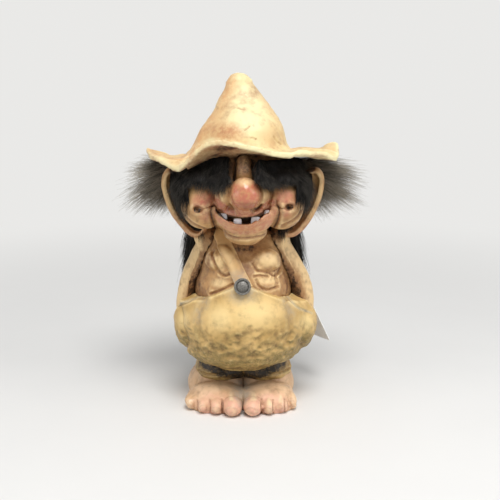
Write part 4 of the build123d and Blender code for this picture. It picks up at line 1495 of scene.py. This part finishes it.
tagShape = {
    "hole": (36.4, 21.0, 46.0),
    "growth": 1.22,
    "paint": {
        "name": "tag card", "colour": (0.90, 0.89, 0.86), "roughness": 0.65, "grain": 2200,
        "variation": 0.08, "bump": 0.02,
    },
}


def makeTag():  # the card as large as the photo shows it, still on its pin
    tag = addObject("tagCard", nodeMesh(["hang_tag"]))
    hole = Vector(tagShape["hole"]) * mm
    for vertex in tag.data.vertices:
        vertex.co = hole + (vertex.co - hole) * tagShape["growth"]
    coat(tag.data, plainMaterial(**tagShape["paint"]), smooth=False)
    standIn(tag, ["hang_tag"], "tag")


makeHat()
makeHead()
makeTeeth()
makeTorso()
makeArms()
makeTrousers()
makeLegs()
makeFeet()
makeTail()
makeStrap()
furTree = makeFurTree()
makeEars(furTree, blackFur)
for furName, furLook in furPieces.items():
    makeFur(furName, furLook, furTree, tippedFur if furLook["slot"] == "tipped_fur" else blackFur)
dressTrims()
makeTag()


# Stage

stageLook = {
    "floor": (0.80, 0.79, 0.77),
    "backdrop": (0.82, 0.815, 0.80),
    "air": (0.86, 0.88, 0.90),
    "airStrength": 0.42,
    "floorSize": 12,
    "floorEnds": (0.10, 0.60),  # metres from the middle, where the floor turns to backdrop
    "aim": (0, 0, 0.1),
    "lamps": [  # name, place, size and power
        ("topLight", (0.08, -0.42, 0.85), 0.4, 6.4),
        ("leftLight", (-0.8, -0.5, 0.35), 0.5, 1.6),
        ("rightLight", (0.8, -0.4, 0.45), 0.5, 2.2),
    ],
}


def seenShare(nodes, links):  # 1 where a ray comes from the camera, a reflection or glass
    path = nodes.new("ShaderNodeLightPath")
    seen = path.outputs["Is Camera Ray"]
    for ray in ("Is Glossy Ray", "Is Transmission Ray"):
        either = nodes.new("ShaderNodeMath")
        either.operation = "MAXIMUM"
        links.new(seen, either.inputs[0])
        links.new(path.outputs[ray], either.inputs[1])
        seen = either.outputs[0]
    return seen


def blended(nodes, links, share, first, second, output):  # shows one shader or the other
    blend = nodes.new("ShaderNodeMixShader")
    for socket, value in zip(blend.inputs, (share, first, second)):
        links.new(value, socket)
    links.new(blend.outputs[0], nodes[output].inputs["Surface"])


def makeFloor():
    paint = Paint("pale floor")
    worn = tuple(0.985 * channel for channel in stageLook["floor"])
    paint.colour(paint.mix(paint.spread(paint.grain(14, 3), 0.3, 0.7), worn, stageLook["floor"]))
    paint.shader.inputs["Roughness"].default_value = 0.8
    away = paint.nodes.new("ShaderNodeVectorMath")
    away.operation = "LENGTH"
    paint.links.new(paint.coordinates, away.inputs[0])
    far = paint.spread(away.outputs["Value"], *stageLook["floorEnds"])
    far = paint.maths("MULTIPLY", far, seenShare(paint.nodes, paint.links))
    glow = paint.nodes.new("ShaderNodeEmission")
    glow.inputs["Color"].default_value = (*stageLook["backdrop"], 1)
    shaders = paint.shader.outputs[0], glow.outputs[0]
    blended(paint.nodes, paint.links, far, *shaders, "Material Output")
    bpy.ops.mesh.primitive_plane_add(size=stageLook["floorSize"])
    floor = bpy.context.object
    floor.name = "floor"
    floor.data.materials.append(paint.material)
    print("made the floor")


def makeAir():
    world = bpy.data.worlds.new("studio")
    bpy.context.scene.world = world
    world.use_nodes = True
    nodes, links = world.node_tree.nodes, world.node_tree.links
    air, back = nodes["Background"], nodes.new("ShaderNodeBackground")
    for shader, colour, strength in ((air, "air", stageLook["airStrength"]), (back, "backdrop", 1.0)):
        shader.inputs["Color"].default_value = (*stageLook[colour], 1)
        shader.inputs["Strength"].default_value = strength
    blended(nodes, links, seenShare(nodes, links), air.outputs[0], back.outputs[0], "World Output")
    print("made the air")


def makeLamps():
    for name, place, size, power in stageLook["lamps"]:
        lamp = bpy.data.lights.new(name, "AREA")
        lamp.size = size
        lamp.energy = power
        light = addObject(name, lamp)
        light.location = place
        towards = Vector(stageLook["aim"]) - light.location
        light.rotation_euler = towards.to_track_quat("-Z", "Y").to_euler()
    print("made the lamps")


def makeCamera():
    camera = bpy.data.cameras.new("camera")
    camera.sensor_width = view["sensor"]
    camera.lens = view["focal"] / view["frame"] * view["sensor"]
    camera.clip_start = 0.01
    eye = addObject("camera", camera)
    eye.location = Vector(view["eye"]) * mm
    eye.rotation_euler = (math.radians(90 - view["pitch"]), 0, 0)
    bpy.context.scene.camera = eye
    bpy.context.scene.view_settings.view_transform = "Standard"
    print("made the camera")


makeFloor()
makeAir()
makeLamps()
makeCamera()
bpy.context.view_layer.update()
